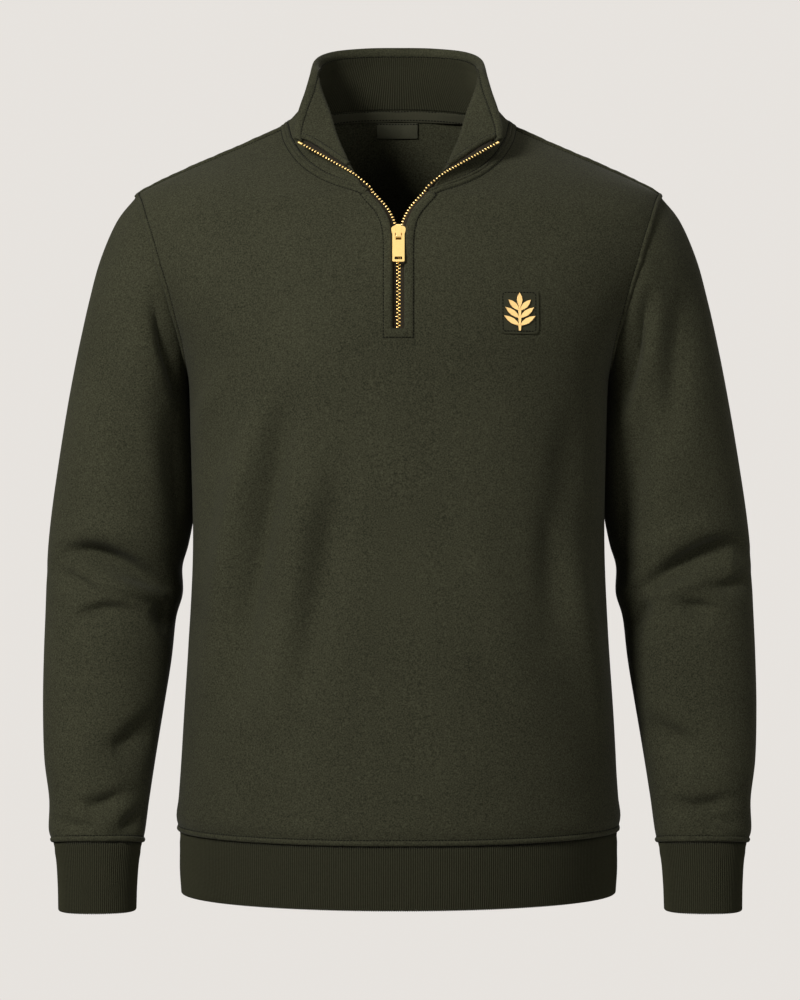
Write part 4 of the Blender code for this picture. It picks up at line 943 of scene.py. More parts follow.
def declare(piece, points, closed=False):
    """Prints a cloth piece's cut, measured on its grid: the longest row and column."""
    across, up = lengths_along(points, 1, closed), lengths_along(points, 0)
    cross_a = points[1:, 1:] - points[:-1, :-1]
    cross_b = points[1:, :-1] - points[:-1, 1:]
    area = np.linalg.norm(np.cross(cross_a, cross_b), axis=-1).sum() / 2 * MM**2
    if closed:
        area *= points.shape[1] / (points.shape[1] - 1)
    width, length = across[:, -1].max(), up[-1].max()
    area = min(area, width * length)
    print(f"{piece.name}: cut {width:.3f} x {length:.3f} m, {area:.4f} square metres")


# %% [markdown]
# ## Welts along the seams
#
# A sweatshirt seam is pressed to one side and stitched down, so its allowance shows as a soft raised
# band about 5 mm wide. Each band is a profile that is swept along the seam and lies on the panel.
# Its height swells and sinks a little along the way, as a sewn band does.

# %% Sweeping a band along a seam
SEAM_PROFILE = (
    # distance from the seam, height over the middle of the cloth
    (-0.5, 0.2),
    (-0.4, 1.4),
    (0.2, 2.4),
    (1.2, 3),
    (2.8, 3),
    (4, 2.4),
    (4.6, 1.3),
    (4.7, 0.2),
)
PLACKET_PROFILE = (
    (-0.7, -1.7),
    (-1.1, -0.5),
    (-1, 0.9),
    (-0.3, 1.9),
    (1, 2.4),
    (3.5, 2.5),
    (6, 2.2),
    (7.3, 1.3),
    (7.6, 0.1),
)
SEAM_STITCH = (5.0, 1.2)
PLACKET_STITCH = (6.9, 1.75)
SWEEP_STEP = 2.6
SWELL_WAVES = (0.04, 0.09, 0.17, 0.29)
SWELL_FROM = 1.0
BAND_SWELL = 0.10
SHARPEST_MITRE = 0.5
SAMPLES_A_STEP = 6
RANDOM = np.random.default_rng(7)
stitch_lines = {}


def along_path(path, values, step, closed=False):
    """Evenly spaced points of a smooth curve through the path, with other values carried along."""
    if closed:
        path = np.concatenate([path[-2:], path, path[:3]])
        values = [np.concatenate([value[-2:], value, value[:3]]) for value in values]
    knots = np.arange(len(path), dtype=float)
    inside = (2.0, len(path) - 3.0) if closed else (0.0, len(path) - 1.0)
    dense = np.linspace(*inside, SAMPLES_A_STEP * len(path))
    fine = smooth(knots, path, dense)
    lengths = distances(fine)
    count = max(3, int(round(lengths[-1] / step)))
    targets = np.linspace(0.0, lengths[-1], count + 1)
    at = np.interp(targets[:-1] if closed else targets, lengths, dense)
    return [smooth(knots, value, at) for value in [path, *values]]


def seam_frame(path, normals, towards, closed=False):
    """Unit normals and mitred directions into the panel, at each point of a seam."""
    after = np.roll(path, -1, axis=0) - path
    if not closed:
        after[-1] = after[-2]
    after = unit(after)
    before = np.roll(after, 1, axis=0)
    if not closed:
        before[0] = after[0]
    tangent = unit(before + after)
    upright = unit(normals - tangent * (normals * tangent).sum(axis=1, keepdims=True))
    inward = np.cross(upright, tangent)
    inward *= np.sign((inward * towards).sum(axis=1, keepdims=True))
    return upright, inward / np.maximum((tangent * after).sum(axis=1, keepdims=True), SHARPEST_MITRE)


def soft_waves(count, closed):
    """A gentle random swell along a seam, the same every time."""
    turns = np.arange(count) / count * TURN
    waves = sum(
        np.sin(turns * (round(count * share) if closed else count * share) + RANDOM.uniform(0, TURN))
        for share in SWELL_WAVES
    )
    return 1.0 + BAND_SWELL * waves / 2


def add_band(
    shell,
    group,
    path,
    normals,
    towards,
    profile=SEAM_PROFILE,
    stitch=SEAM_STITCH,
    closed=False,
    step=SWEEP_STEP,
):
    """Sweeps a profile along a seam, and keeps the line for its stitches."""
    if step:
        path, normals, towards = along_path(path, [normals, towards], step, closed)
    upright, inward = seam_frame(path, normals, towards, closed)
    across, heights = np.array(profile).T
    swells = soft_waves(len(path), closed)[:, None]
    heights = np.where(heights > SWELL_FROM, SWELL_FROM + (heights - SWELL_FROM) * swells, heights)
    grid = path[:, None] + inward[:, None] * across[None, :, None] + upright[:, None] * heights[:, :, None]
    rows = np.concatenate([grid, grid[:1]]) if closed else grid
    count = len(profile)
    row, column = grid_cells(len(rows), count, closed=True)
    uv = np.stack([lengths_along(rows, 0)[row, 0], column * MM], axis=-1)
    start = shell.count
    shell.add(grid, (row % len(path)) * count + column % count, uv)
    if not closed:
        shell.add_cap(start + np.arange(count), (0.0, 0.0))
        shell.add_cap(start + (len(path) - 1) * count + np.arange(count)[::-1], (0.0, 0.0))
    distance, height = stitch
    line = path + inward * distance + upright * (SWELL_FROM + (height - SWELL_FROM) * swells)
    stitch_lines.setdefault(group, []).append((line, upright, closed))


def add_line(group, path, normals, towards, height):
    """Keeps a line of stitches without a band."""
    path, normals, towards = along_path(path, [normals, towards], SWEEP_STEP)
    upright, _ = seam_frame(path, normals, towards)
    stitch_lines.setdefault(group, []).append((path + upright * height, upright, False))


# %% [markdown]
# ## Body panels and sleeves
#
# The front has a slit for the zip. Its folded edge, the placket, is a wider band than a seam's, with
# square lower corners and a line of stitches all round. The front also carries the shoulder seams,
# which lie just in front of the top of the shoulder.

# %% Front, back and sleeves
HALF_WALL = CLOTH_WALL / 2
SLIT_ROW = BODY_ROWS + FRONT_UPPER_ROWS * SLIT_BOTTOM_ROW // FRONT_NECK_ROW
FRONT_NECK = BODY_ROWS + FRONT_UPPER_ROWS
BACK_NECK = BODY_ROWS + BACK_UPPER_ROWS
RIGHT_EDGE, LEFT_EDGE = HALF_PANEL_COLUMNS, HALF_PANEL_COLUMNS + 1
UP = np.array([0.0, 0.0, 1.0])
upright = shared_normals()


def wall_of(name, keep=None):
    """A shell that holds the wall of one piece of the cloth, and the piece's own points and normals."""
    shell, ids, points = Shell(), cloth.ids[name], cloth.grid(name)
    add_wall(shell, points, upright[ids], HALF_WALL, -HALF_WALL, name in CLOSED, keep, ids)
    return shell, points, normals_of(name)


def same(vector, path):
    """One direction for every point of a seam."""
    return np.tile(np.asarray(vector, float), (len(path), 1))


def away_from_neck(path):
    return path * np.array([1.0, 1.0, 0.0])


def round_the_neck(rows):
    """The back neckline's part of a grid in one run, from shoulder to shoulder."""
    return np.concatenate([rows[BACK_NECK:, RIGHT_EDGE][::-1], rows[BACK_NECK:, LEFT_EDGE][1:]])


def panel_wall(name, open_from):
    """A panel that is open between its halves from a row up, with bands on its hem and armholes."""
    rows, columns = cloth.ids[name].shape
    keep = np.ones((rows - 1, columns - 1), bool)
    keep[open_from:, RIGHT_EDGE] = False
    shell, points, normals = wall_of(name, keep)
    hem_path, hem_normals = points[0], normals[0]
    if name == "back_panel":
        hem_path, hem_normals = (np.delete(row, LEFT_EDGE, axis=0) for row in (hem_path, hem_normals))
    add_band(shell, "body", hem_path, hem_normals, same(UP, hem_path))
    for edge, inner in ((0, 1), (-1, -2)):
        path = points[BODY_ROWS:, edge]
        add_band(shell, "body", path, normals[BODY_ROWS:, edge], points[BODY_ROWS:, inner] - path)
    return shell, points, normals


front_shell, front, front_normals = panel_wall("front_panel", SLIT_ROW)
for edge in (RIGHT_EDGE, LEFT_EDGE):
    neckline = front[FRONT_NECK:, edge]
    add_band(front_shell, "body", neckline, front_normals[FRONT_NECK:, edge], away_from_neck(neckline))

for columns in (slice(0, LEFT_EDGE), slice(LEFT_EDGE, None)):
    shoulder = front[-1, columns]
    add_band(front_shell, "body", shoulder, front_normals[-1, columns], front[-2, columns] - shoulder)

beside_slit = slice(SLIT_ROW, FRONT_NECK + 1)
right_side, right_normals = along_path(
    front[beside_slit, RIGHT_EDGE], [front_normals[beside_slit, RIGHT_EDGE]], SWEEP_STEP
)
slit = np.concatenate([right_side[::-1], mirrored(right_side)])
slit_normals = np.concatenate([right_normals[::-1], mirrored(right_normals)])
away = np.sign(slit * np.array([1.0, 0.0, 0.0]))
corner = len(right_side)
away[corner - 1 : corner + 1] -= UP
add_band(front_shell, "body", slit, slit_normals, away, PLACKET_PROFILE, PLACKET_STITCH, step=None)
front_cloth = front_shell.object("front_panel", FLEECE, "fleece")

back_shell, back, back_normals = panel_wall("back_panel", 0)
neckline = round_the_neck(back)
add_band(back_shell, "body", neckline, round_the_neck(back_normals), away_from_neck(neckline))
back_cloth = back_shell.object("back_panel", FLEECE, "fleece")

for name in ("sleeve_right", "sleeve_left"):
    shell, points, normals = wall_of(name)
    add_band(shell, "body", points[-1], normals[-1], same(UP, points[-1]), closed=True)
    declare(shell.object(name, FLEECE, "fleece"), points, closed=True)
declare(front_cloth, front)
declare(back_cloth, back)
print("body faces", len(front_cloth.data.polygons), len(back_cloth.data.polygons))

# %% [markdown]
# ## Rib bands
#
# A rib band is one strip folded double, so its lower edge is a soft roll and both its faces show
# ribs. The ribs are real ridges here: four columns of points to a rib, with the third one low. The
# band starts a little inside the seam, so the welt above it casts a thin shadow.

# %% Hem band and cuffs
RIB_DEPTH = 0.42
COLUMNS_A_RIB = 4
BAND_INSET = 0.7
BAND_INSET_ROWS = 2
ROLL_ANGLES = (25.0, 60.0, 90.0, 120.0, 155.0)


def rib_band(name, pitch, rows):
    """A folded band: out face, rolled lower edge and inner face, closed along the seam."""
    rings = cloth.grid(name)
    if name in FLIPPED:
        rings = rings[:, ::-1]
    rings = smooth(np.arange(len(rings)), rings, np.linspace(0.0, len(rings) - 1.0, rows + 1))
    around = lengths_along(rings, 1, closed=True)[:, -1].mean() / MM
    ribs = round(around / pitch)
    shares = np.arange(ribs * COLUMNS_A_RIB) / (ribs * COLUMNS_A_RIB)
    rings = np.array([even_shares(np.concatenate([ring, ring[:1]]), shares) for ring in rings])
    normals = grid_normals(rings, closed=True)
    last, out, down = rings[-1], normals[-1], np.cross(grid_across(rings[-1]), normals[-1])
    down *= np.sign(-down[:, 2:])
    half = RIB_WALL / 2
    inset = np.full(rows + 1, half)
    inset[:BAND_INSET_ROWS] -= BAND_INSET
    low = last - down * half
    grid = [ring + normal * amount for ring, normal, amount in zip(rings[:-1], normals, inset)]
    lifts = list(normals[:-1])
    for angle in (0.0, *ROLL_ANGLES, 180.0):
        turn = math.radians(angle)
        lift = out * math.cos(turn) + down * math.sin(turn)
        grid.append(low + lift * half)
        lifts.append(lift)
    inner_rows = range(len(rings) - 2, -1, -2)
    grid += [rings[row] - normals[row] * half for row in inner_rows]
    lifts += [-normals[row] for row in inner_rows]
    grid, lifts = np.array(grid), np.array(lifts)
    phase = np.arange(len(shares)) / COLUMNS_A_RIB
    grid += lifts * (RIB_DEPTH * np.cos(TURN * phase))[None, :, None]
    return grid, rings, phase


def grid_across(ring):
    return unit(np.roll(ring, -1, axis=0) - np.roll(ring, 1, axis=0))


def band_object(name, pitch, rows):
    grid, rings, phase = rib_band(name, pitch, rows)
    count = grid.shape[1]
    rows_round = np.concatenate([grid, grid[:1]])
    row, column = grid_cells(len(rows_round), count, closed=True)
    down = lengths_along(rows_round, 0)
    uv = np.stack([column / COLUMNS_A_RIB, down[row, column % count]], axis=-1)
    shell = Shell()
    shell.add(grid, (row % len(grid)) * count + column % count, uv)
    piece = shell.object(name, RIB, "rib_knit")
    declare(piece, rings, closed=True)
    return piece


HEM_RIB_PITCH = 1.95
CUFF_RIB_PITCH = 1.85
HEM_ROWS = 10
CUFF_ROWS = 12
hem_cloth = band_object("hem_band", HEM_RIB_PITCH, HEM_ROWS)
cuff_cloths = [band_object(name, CUFF_RIB_PITCH, CUFF_ROWS) for name in ("cuff_right", "cuff_left")]
print("hem faces", len(hem_cloth.data.polygons), "cuff faces", len(cuff_cloths[0].data.polygons))

# %% [markdown]
# ## Collar
#
# The outer layer goes up the outside of the stand and over the leaf, turns round the rim and ends a
# little way down the inside. The inner layers end just below that turn: rib knit round the back of
# the neck, and plain facings where the fronts fall open. A padded welt covers the neck seam.

# %% Collar layers
LAYER_OFFSET = 1.1
LAYER_HALF = 0.75
RIM_ROUND = 1.6
TURN_UNDER = (
    # distance from the rim's turn, how far the padded fold stands up there
    (0, 0.2),
    (1.4, 0.8),
    (2.8, 1.1),
    (4.2, 0.9),
    (5.5, 0.4),
    (6.3, -0.3),
)
SEAM_OFFSETS = (0.2, 0.8)
NECK_PROFILE = (
    (-0.4, 0.3),
    (-0.2, 2.4),
    (0.8, 3.3),
    (2, 3.3),
    (2.9, 2.6),
    (3.3, 1.3),
    (3.35, 0.3),
)
NECK_STITCH = (3.75, 1.65)
RIM_ANGLES = (30.0, 60.0, 90.0, 120.0, 150.0)
INNER_STOP = 5.9
INNER_ROWS = 34
FACING_EDGE = 4.4
FACING_THINNING = 1.1
WELT_FROM_ROW = 12
WELT_GAP = 4.0
WELT_COLUMNS = 12
WELT_CLOSES = 0.93
WELT_PROFILE = (
    (-0.5, 0.2),
    (-0.4, 1.8),
    (0.4, 3),
    (1.8, 3.6),
    (3.2, 3.2),
    (4.2, 1.9),
    (4.4, 0.2),
)
WELT_STITCH = (4.8, 1.3)
COLLAR_RIB_PITCH = 1.9
WELT_BULGE = 1.5
FACING_STEEPNESS = 6.0
FACING_COLUMNS = 60
LINING_SAMPLES = 80
THREAD_ABOVE = 0.05
LEAF_START = STAND_STEPS + ROLL_STEPS

collar = cloth.grid("collar")
collar_normals = normals_of("collar")
columns_right = np.arange(len(collar_right))[::-1]


def column_at(share):
    """Where on the whole collar the wearer's right half has this share of its neckline."""
    return np.interp(share, collar_shares, columns_right)


def collar_columns(at):
    return smooth(np.arange(len(collar)), collar, at)


def outer_layer(columns):
    """Each column up the outside, round the rim and a little down the inside."""
    normals = grid_normals(columns)
    high, rim, out = columns[:, LEAF_START], columns[:, -1], normals[:, (LEAF_START + columns.shape[1]) // 2]
    down = unit(rim - high)
    turn = rim - down * RIM_ROUND
    offsets = [*SEAM_OFFSETS, *[LAYER_OFFSET] * (LEAF_START - len(SEAM_OFFSETS))]
    rows = [columns[:, row] + normals[:, row] * offset for row, offset in enumerate(offsets)]
    rows += [high + (turn - high) * t + out * LAYER_OFFSET for t in np.linspace(0.0, 1.0, LEAF_STEPS + 1)]
    for angle in RIM_ANGLES:
        turned = math.radians(angle)
        rows.append(turn + out * LAYER_OFFSET * math.cos(turned) + down * RIM_ROUND * math.sin(turned))
    rows += [turn - out * (LAYER_OFFSET + height) - down * distance for distance, height in TURN_UNDER]
    return np.stack(rows, axis=1)


def inner_layer(columns):
    """Each column from the seam to just below the turned edge, in even steps."""
    rows = []
    for column in columns:
        length = np.linalg.norm(np.diff(column, axis=0), axis=1).sum()
        last = 1.0 - (INNER_STOP + RIM_ROUND) / length
        rows.append(even_shares(column, np.linspace(0.0, last, INNER_ROWS + 1)))
    return np.array(rows)


outer_grid = outer_layer(collar_columns(np.linspace(0.0, len(collar) - 1.0, 2 * len(collar) - 1)))
outer_normals = grid_normals(outer_grid)
shell = Shell()
add_wall(shell, outer_grid, outer_normals, LAYER_HALF, -LAYER_HALF)
seam, above = collar[:, 0], collar[:, 1]
add_band(shell, "collar", seam, collar_normals[:, 0], above - seam, NECK_PROFILE, NECK_STITCH)
collar_cloth = shell.object("collar_outer", FLEECE, "fleece")
declare(collar_cloth, outer_grid)

seam_shares = np.linspace(0.0, FACING_FROM_SHARE, LINING_SAMPLES)
back_at = np.concatenate([column_at(seam_shares)[::-1], (len(collar) - 1) - column_at(seam_shares[1:])])
lining = inner_layer(collar_columns(back_at))
along = distances(lining[:, INNER_ROWS * 2 // 3])
ribs = round(along[-1] / COLLAR_RIB_PITCH)
steps = np.interp(np.linspace(0.0, along[-1], ribs * COLUMNS_A_RIB + 1), along, back_at)
lining = inner_layer(collar_columns(steps))
phase = np.arange(len(lining)) / COLUMNS_A_RIB
relief = (RIB_DEPTH * np.cos(TURN * phase))[:, None]
row, column = grid_cells(*lining.shape[:2])
rib_uv = np.stack([row / COLUMNS_A_RIB, lengths_along(lining, 1)[row, column]], axis=-1)
shell = Shell()
inner_out, inner_in = LAYER_OFFSET + LAYER_HALF, LAYER_OFFSET - LAYER_HALF
add_wall(shell, lining, -grid_normals(lining), inner_out, inner_in, relief=relief, uv=rib_uv)
lining_cloth = shell.object("collar_lining", RIB, "rib_knit")
declare(lining_cloth, lining)

edge_share = 1.0 - FACING_EDGE / np.linalg.norm(np.diff(collar[:, 0], axis=0), axis=1).sum() * 2
facing_at = column_at(np.linspace(FACING_FROM_SHARE, edge_share, FACING_COLUMNS))
for name, at in (("collar_facing_right", facing_at), ("collar_facing_left", len(collar) - 1 - facing_at)):
    facing = inner_layer(collar_columns(at))
    count, rows = facing.shape[:2]
    normals = grid_normals(facing)
    if (normals[:, 0] * away_from_neck(facing[:, 0])).sum() > 0:
        normals = -normals
    opening = np.clip((np.arange(rows) - WELT_FROM_ROW) / (rows - WELT_FROM_ROW), 0.0, 1.0)
    opening = np.sin(math.pi * WELT_CLOSES * opening**WELT_BULGE)
    near = np.clip(1.0 - np.arange(count)[::-1] / WELT_COLUMNS, 0.0, 1.0)
    from_edge = unit(facing[-2] - facing[-1])
    facing = facing + near[:, None, None] * (WELT_GAP * opening)[None, :, None] * from_edge
    to_edge = np.linspace(1.0, 0.0, count)[:, None]
    thinner = np.tile(-FACING_THINNING * (1.0 - np.clip(to_edge * FACING_STEEPNESS, 0.0, 1.0)), (1, rows))
    thinner[:, WELT_FROM_ROW:] = 0.0
    shell = Shell()
    add_wall(shell, facing, normals, inner_out, inner_in, relief=thinner)
    welt = facing[-1, WELT_FROM_ROW:] + normals[-1, WELT_FROM_ROW:] * (inner_out - HALF_WALL)
    towards = (facing[-2] - facing[-1])[WELT_FROM_ROW:]
    add_band(shell, "collar", welt, normals[-1, WELT_FROM_ROW:], towards, WELT_PROFILE, WELT_STITCH)
    declare(shell.object(name, FLEECE, "fleece"), facing)
turned, before_turn = outer_grid[:, -2], outer_grid[:, -3]
add_line("collar", turned, outer_normals[:, -2], before_turn - turned, LAYER_HALF + THREAD_ABOVE)
print("collar faces", len(collar_cloth.data.polygons), "lining faces", len(lining_cloth.data.polygons))

# %% [markdown]
# ## Copies of the trim
#
# The slider, its pull, the patch, the sprig, the tape and the label already have the right shape as
# solids. Each gets a copy with small rounded edges, because a sharp edge never catches the light.

# %% Rounded copies
SHARP = math.radians(24.0)
FLAT = math.radians(0.6)
WELD = 2e-6
BEVEL_PROFILE = 0.6


def rounded_copy(node, material, radius, slot, body="garment", soft=False):
    """A copy of a solid with its loose triangles joined and its sharp edges rounded."""
    mesh = bpy.data.objects[node].data.copy()
    shell = bmesh.new()
    shell.from_mesh(mesh)
    bmesh.ops.remove_doubles(shell, verts=shell.verts, dist=WELD)
    bmesh.ops.dissolve_limit(shell, angle_limit=FLAT, verts=shell.verts, edges=shell.edges)
    sharp = [edge for edge in shell.edges if len(edge.link_faces) == 2 and edge.calc_face_angle() > SHARP]
    size = {"offset": radius * MM, "segments": 2, "profile": BEVEL_PROFILE}
    rounded = bmesh.ops.bevel(shell, geom=sharp, affect="EDGES", clamp_overlap=True, **size)
    for face in shell.faces:
        face.smooth = soft
    for face in rounded["faces"]:
        face.smooth = True
    shell.to_mesh(mesh)
    shell.free()
    mesh.materials.clear()
    mesh.materials.append(material)
    return place(bpy.data.objects.new(node + "_dressed", mesh), slot, node, body)


slider = rounded_copy("zip_slider", GOLD, 0.35, "gold")
pull = rounded_copy("zip_pull", GOLD, 0.3, "gold", body="pull_tab")
sprig = rounded_copy("patch_emblem", SATIN_GOLD, 0.4, "gold")
patch = rounded_copy("chest_patch", PATCH, 0.3, "patch")
label = rounded_copy("neck_label", LABEL, 0.15, "label", soft=True)
tape = rounded_copy("neck_tape", TAPE, 0.3, "tape", soft=True)
trim = (slider, pull, sprig, patch, label, tape)
print("trim faces", {piece.name: len(piece.data.polygons) for piece in trim})

# %% [markdown]
# ## Zip tapes
#
# A zip's tape is sewn under the placket below, and between the layers of the collar above. It is one
# long strip on each side. Its free edge carries the teeth.

# %% Tapes on both sides
TAPE_ROWS = (2.3, 8.0)
TAPE_STEP = 3.0
TAPE_SAMPLES = 90
TAPE_END = 5.5
TAPE_INSIDE = ((0.0, 7.0), (0.9, 7.0), (1.05, 1.0), (1.32, 1.0), (1.5, 6.0), (2.0, 7.0))
TAPE_HALF = 0.35
TAPE_REACH = ((0.0, 5.0), (0.55, 5.0), (0.75, 4.8), (1.0, 4.2), (1.15, 1.8), (1.3, 1.1), (2.0, 1.0))
TAPE_DEPTH = ((0.0, -2.0), (0.8, -2.0), (1.0, -1.6), (1.15, -0.4), (2.0, -0.2))


def tape_path():
    """The right edge of the zip opening, from below the slit to near the collar's rim."""
    rows = BODY_ROWS + np.linspace(*TAPE_ROWS, TAPE_SAMPLES) * FRONT_UPPER_ROWS / FRONT_NECK_ROW
    lower = smooth(np.arange(len(front)), front[:, RIGHT_EDGE], rows)
    lower_normals = smooth(np.arange(len(front)), front_normals[:, RIGHT_EDGE], rows)
    edge, edge_normals = collar[0], collar_normals[0]
    to_rim = lengths_along(edge[None, ::-1], 1)[0][::-1] / MM
    upper = to_rim > TAPE_END
    beyond = 1.0 + (to_rim[0] - to_rim[upper][1:]) / to_rim[0]
    share = np.concatenate([np.linspace(0.0, 1.0, len(lower)), beyond])
    path = np.concatenate([lower, edge[upper][1:]])
    normals = np.concatenate([lower_normals, edge_normals[upper][1:]])
    return path, normals, share[:, None]


path, normals, share = tape_path()
path, normals, share = along_path(path, [normals, share], TAPE_STEP)
towards = same((1.0, 0.0, 0.0), path)
on_collar = share[:, 0] > 1.0
outward = collar[0] - collar[1]
towards[on_collar] = outward.mean(axis=0) / np.linalg.norm(outward.mean(axis=0))
tape_up, tape_out = seam_frame(path, normals, towards)
reach, depth, inside = (
    np.interp(share[:, 0], *zip(*table))[:, None] for table in (TAPE_REACH, TAPE_DEPTH, TAPE_INSIDE)
)
base = path + tape_up * depth
tooth_path = base + tape_out * reach
tape_grid = np.stack([base - tape_out * inside, base - tape_out * inside / 3, base, tooth_path], axis=1)
for name, grid in (("zip_tape_right", tape_grid), ("zip_tape_left", mirrored(tape_grid))):
    shell = Shell()
    add_wall(shell, grid, grid_normals(grid), TAPE_HALF, -TAPE_HALF)
    declare(shell.object(name, ZIP_TAPE_WITH_PAINTED_SHADE, "zip_tape"), grid)

# %% [markdown]
# ## Stitches and teeth
#
# Anything that repeats along a line is made by one geometry node tree: it turns lines into curves,
# puts points on them at an even pitch, sets a small shape on each point and joins the result. The
# attribute `up` on the line says which way the cloth faces there.

# %% A node tree that repeats a shape along a line


def repeat_tree():
    tree = bpy.data.node_groups.new("repeat_along_lines", "GeometryNodeTree")
    tree.is_modifier = True
    sockets = (
        ("Geometry", "INPUT", "NodeSocketGeometry"),
        ("Shape", "INPUT", "NodeSocketObject"),
        ("Pitch", "INPUT", "NodeSocketFloat"),
        ("Least scale", "INPUT", "NodeSocketFloat"),
        ("Finish", "INPUT", "NodeSocketMaterial"),
        ("Geometry", "OUTPUT", "NodeSocketGeometry"),
    )
    for name, way, kind in sockets:
        tree.interface.new_socket(name=name, in_out=way, socket_type=kind)
    make = tree.nodes.new
    start, end = make("NodeGroupInput"), make("NodeGroupOutput")
    lines = make("GeometryNodeMeshToCurve")
    points = make("GeometryNodeResampleCurve")
    points.mode = "LENGTH"
    tangent = make("GeometryNodeInputTangent")
    facing = make("GeometryNodeInputNamedAttribute")
    facing.data_type = "FLOAT_VECTOR"
    facing.inputs["Name"].default_value = "up"
    turn = make("FunctionNodeAxesToRotation")
    turn.primary_axis = "X"
    turn.secondary_axis = "Z"
    shape = make("GeometryNodeObjectInfo")
    scale = make("FunctionNodeRandomValue")
    scale.data_type = "FLOAT"
    scale.inputs["Seed"].default_value = 5
    put = make("GeometryNodeInstanceOnPoints")
    real = make("GeometryNodeRealizeInstances")
    finish = make("GeometryNodeSetMaterial")
    links = (
        (start, "Geometry", lines, "Mesh"),
        (lines, "Curve", points, "Curve"),
        (start, "Pitch", points, "Length"),
        (tangent, "Tangent", turn, "Primary Axis"),
        (facing, "Attribute", turn, "Secondary Axis"),
        (start, "Shape", shape, "Object"),
        (points, "Curve", put, "Points"),
        (shape, "Geometry", put, "Instance"),
        (turn, "Rotation", put, "Rotation"),
        (start, "Least scale", scale, "Min"),
        (scale, "Value", put, "Scale"),
        (put, "Instances", real, "Geometry"),
        (real, "Geometry", finish, "Geometry"),
        (start, "Finish", finish, "Material"),
        (finish, "Geometry", end, "Geometry"),
    )
    for source, output, target, socket in links:
        tree.links.new(source.outputs[output], target.inputs[socket])
    return tree


REPEAT = repeat_tree()


def repeat_along(name, lines, shape, pitch, least_scale, material, slot):
    """Sets the shape along every line, and returns the result as one plain piece."""
    points, edges, facing = [], [], []
    for line, up, closed in lines:
        first, count = len(points), len(line)
        points += (line * MM).tolist()
        facing += up.tolist()
        edges += [(first + k, first + k + 1) for k in range(count - 1)]
        if closed:
            edges.append((first + count - 1, first))
    mesh = bpy.data.meshes.new(name + "_lines")
    mesh.from_pydata(points, edges, [])
    attribute = mesh.attributes.new("up", "FLOAT_VECTOR", "POINT")
    attribute.data.foreach_set("vector", np.asarray(facing, np.float32).ravel())
    carrier = bpy.data.objects.new(name + "_carrier", mesh)
    link(carrier)
    link(shape)
    modifier = carrier.modifiers.new("repeat", "NODES")
    modifier.node_group = REPEAT
    values = {"Shape": shape, "Pitch": pitch * MM, "Least scale": least_scale, "Finish": material}
    for item in REPEAT.interface.items_tree:
        if item.in_out == "INPUT" and item.name in values:
            modifier[item.identifier] = values[item.name]
    bpy.context.view_layer.update()
    graph = bpy.context.evaluated_depsgraph_get()
    made = bpy.data.meshes.new_from_object(carrier.evaluated_get(graph))
    made.name = name
    for extra in (carrier, shape):
        data = extra.data
        bpy.data.objects.remove(extra)
        bpy.data.meshes.remove(data)
    made.shade_smooth()
    return place(bpy.data.objects.new(name, made), slot)


def small_shape(name, sections, sides):
    """A closed shape along X: each section has a place, a half width and a half height."""
    points, faces = [], []
    for place_x, half_y, half_z in sections:
        for k in range(sides):
            turn = TURN * (k + 0.5) / sides
            points.append((place_x * MM, half_y * math.cos(turn) * MM, half_z * math.sin(turn) * MM))
    for ring in range(len(sections) - 1):
        for k in range(sides):
            a, b = ring * sides + k, ring * sides + (k + 1) % sides
            faces.append((a, b, b + sides, a + sides))
    faces.append(tuple(range(sides))[::-1])
    faces.append(tuple(range((len(sections) - 1) * sides, len(sections) * sides)))
    mesh = bpy.data.meshes.new(name)
    mesh.from_pydata(points, [], faces)
    return bpy.data.objects.new(name, mesh)


# %% [markdown]
# ### Where the last stitch lines run
#
# Seams already left their lines behind. The patch, the tape and the label get theirs by looking for
# the surface under each point of a plan.

# %% Stitch lines on the trim


def stitch_trim(piece, plan, start_y=0.0, closed=False):
    """Drops a plan of points onto a piece from the front, and keeps the line for its stitches."""
    surface = bmesh.new()
    surface.from_mesh(piece.data)
    tree = BVHTree.FromBMesh(surface)
    surface.free()
    hits = [tree.ray_cast(Vector((x * MM, start_y * MM, z * MM)), Vector((0, 1, 0)))[:2] for x, z in plan]
    hits = [hit for hit in hits if hit[0] is not None]
    line = np.array([spot for spot, _ in hits]) / MM
    facing = np.array([normal for _, normal in hits])
    stitch_lines.setdefault("trim", []).append((line + facing * THREAD_LIFT, facing, closed))


def rounded_box(centre, size, radius):
    """A closed plan of a box with round corners, in even steps."""
    plan = []
    for k, (sign_x, sign_y) in enumerate(((1, 1), (-1, 1), (-1, -1), (1, -1))):
        middle = (centre[0] + sign_x * (size[0] / 2 - radius), centre[1] + sign_y * (size[1] / 2 - radius))
        for turn in np.linspace(k * math.pi / 2, (k + 1) * math.pi / 2, 5):
            plan.append((middle[0] + radius * math.cos(turn), middle[1] + radius * math.sin(turn)))
    plan = np.array(plan + plan[:1])
    return even_shares(plan, np.linspace(0.0, 1.0, 60))[:-1]


PATCH_CENTRE = (104.0, -174.0)
PATCH_SIZE = (33.5, 38.5)
PATCH_MARGIN = 2.5
PATCH_CORNER = 2.0
BEFORE_CHEST_Y = -300.0
LABEL_CENTRE_X = -1.2
LABEL_STITCH_Z = 10.7
LABEL_STITCH_REACH = 18.0
TAPE_STITCHES_BELOW = (2.0, 9.6)
TAPE_STITCH_REACH = 62.0
THREAD_LIFT = 0.12

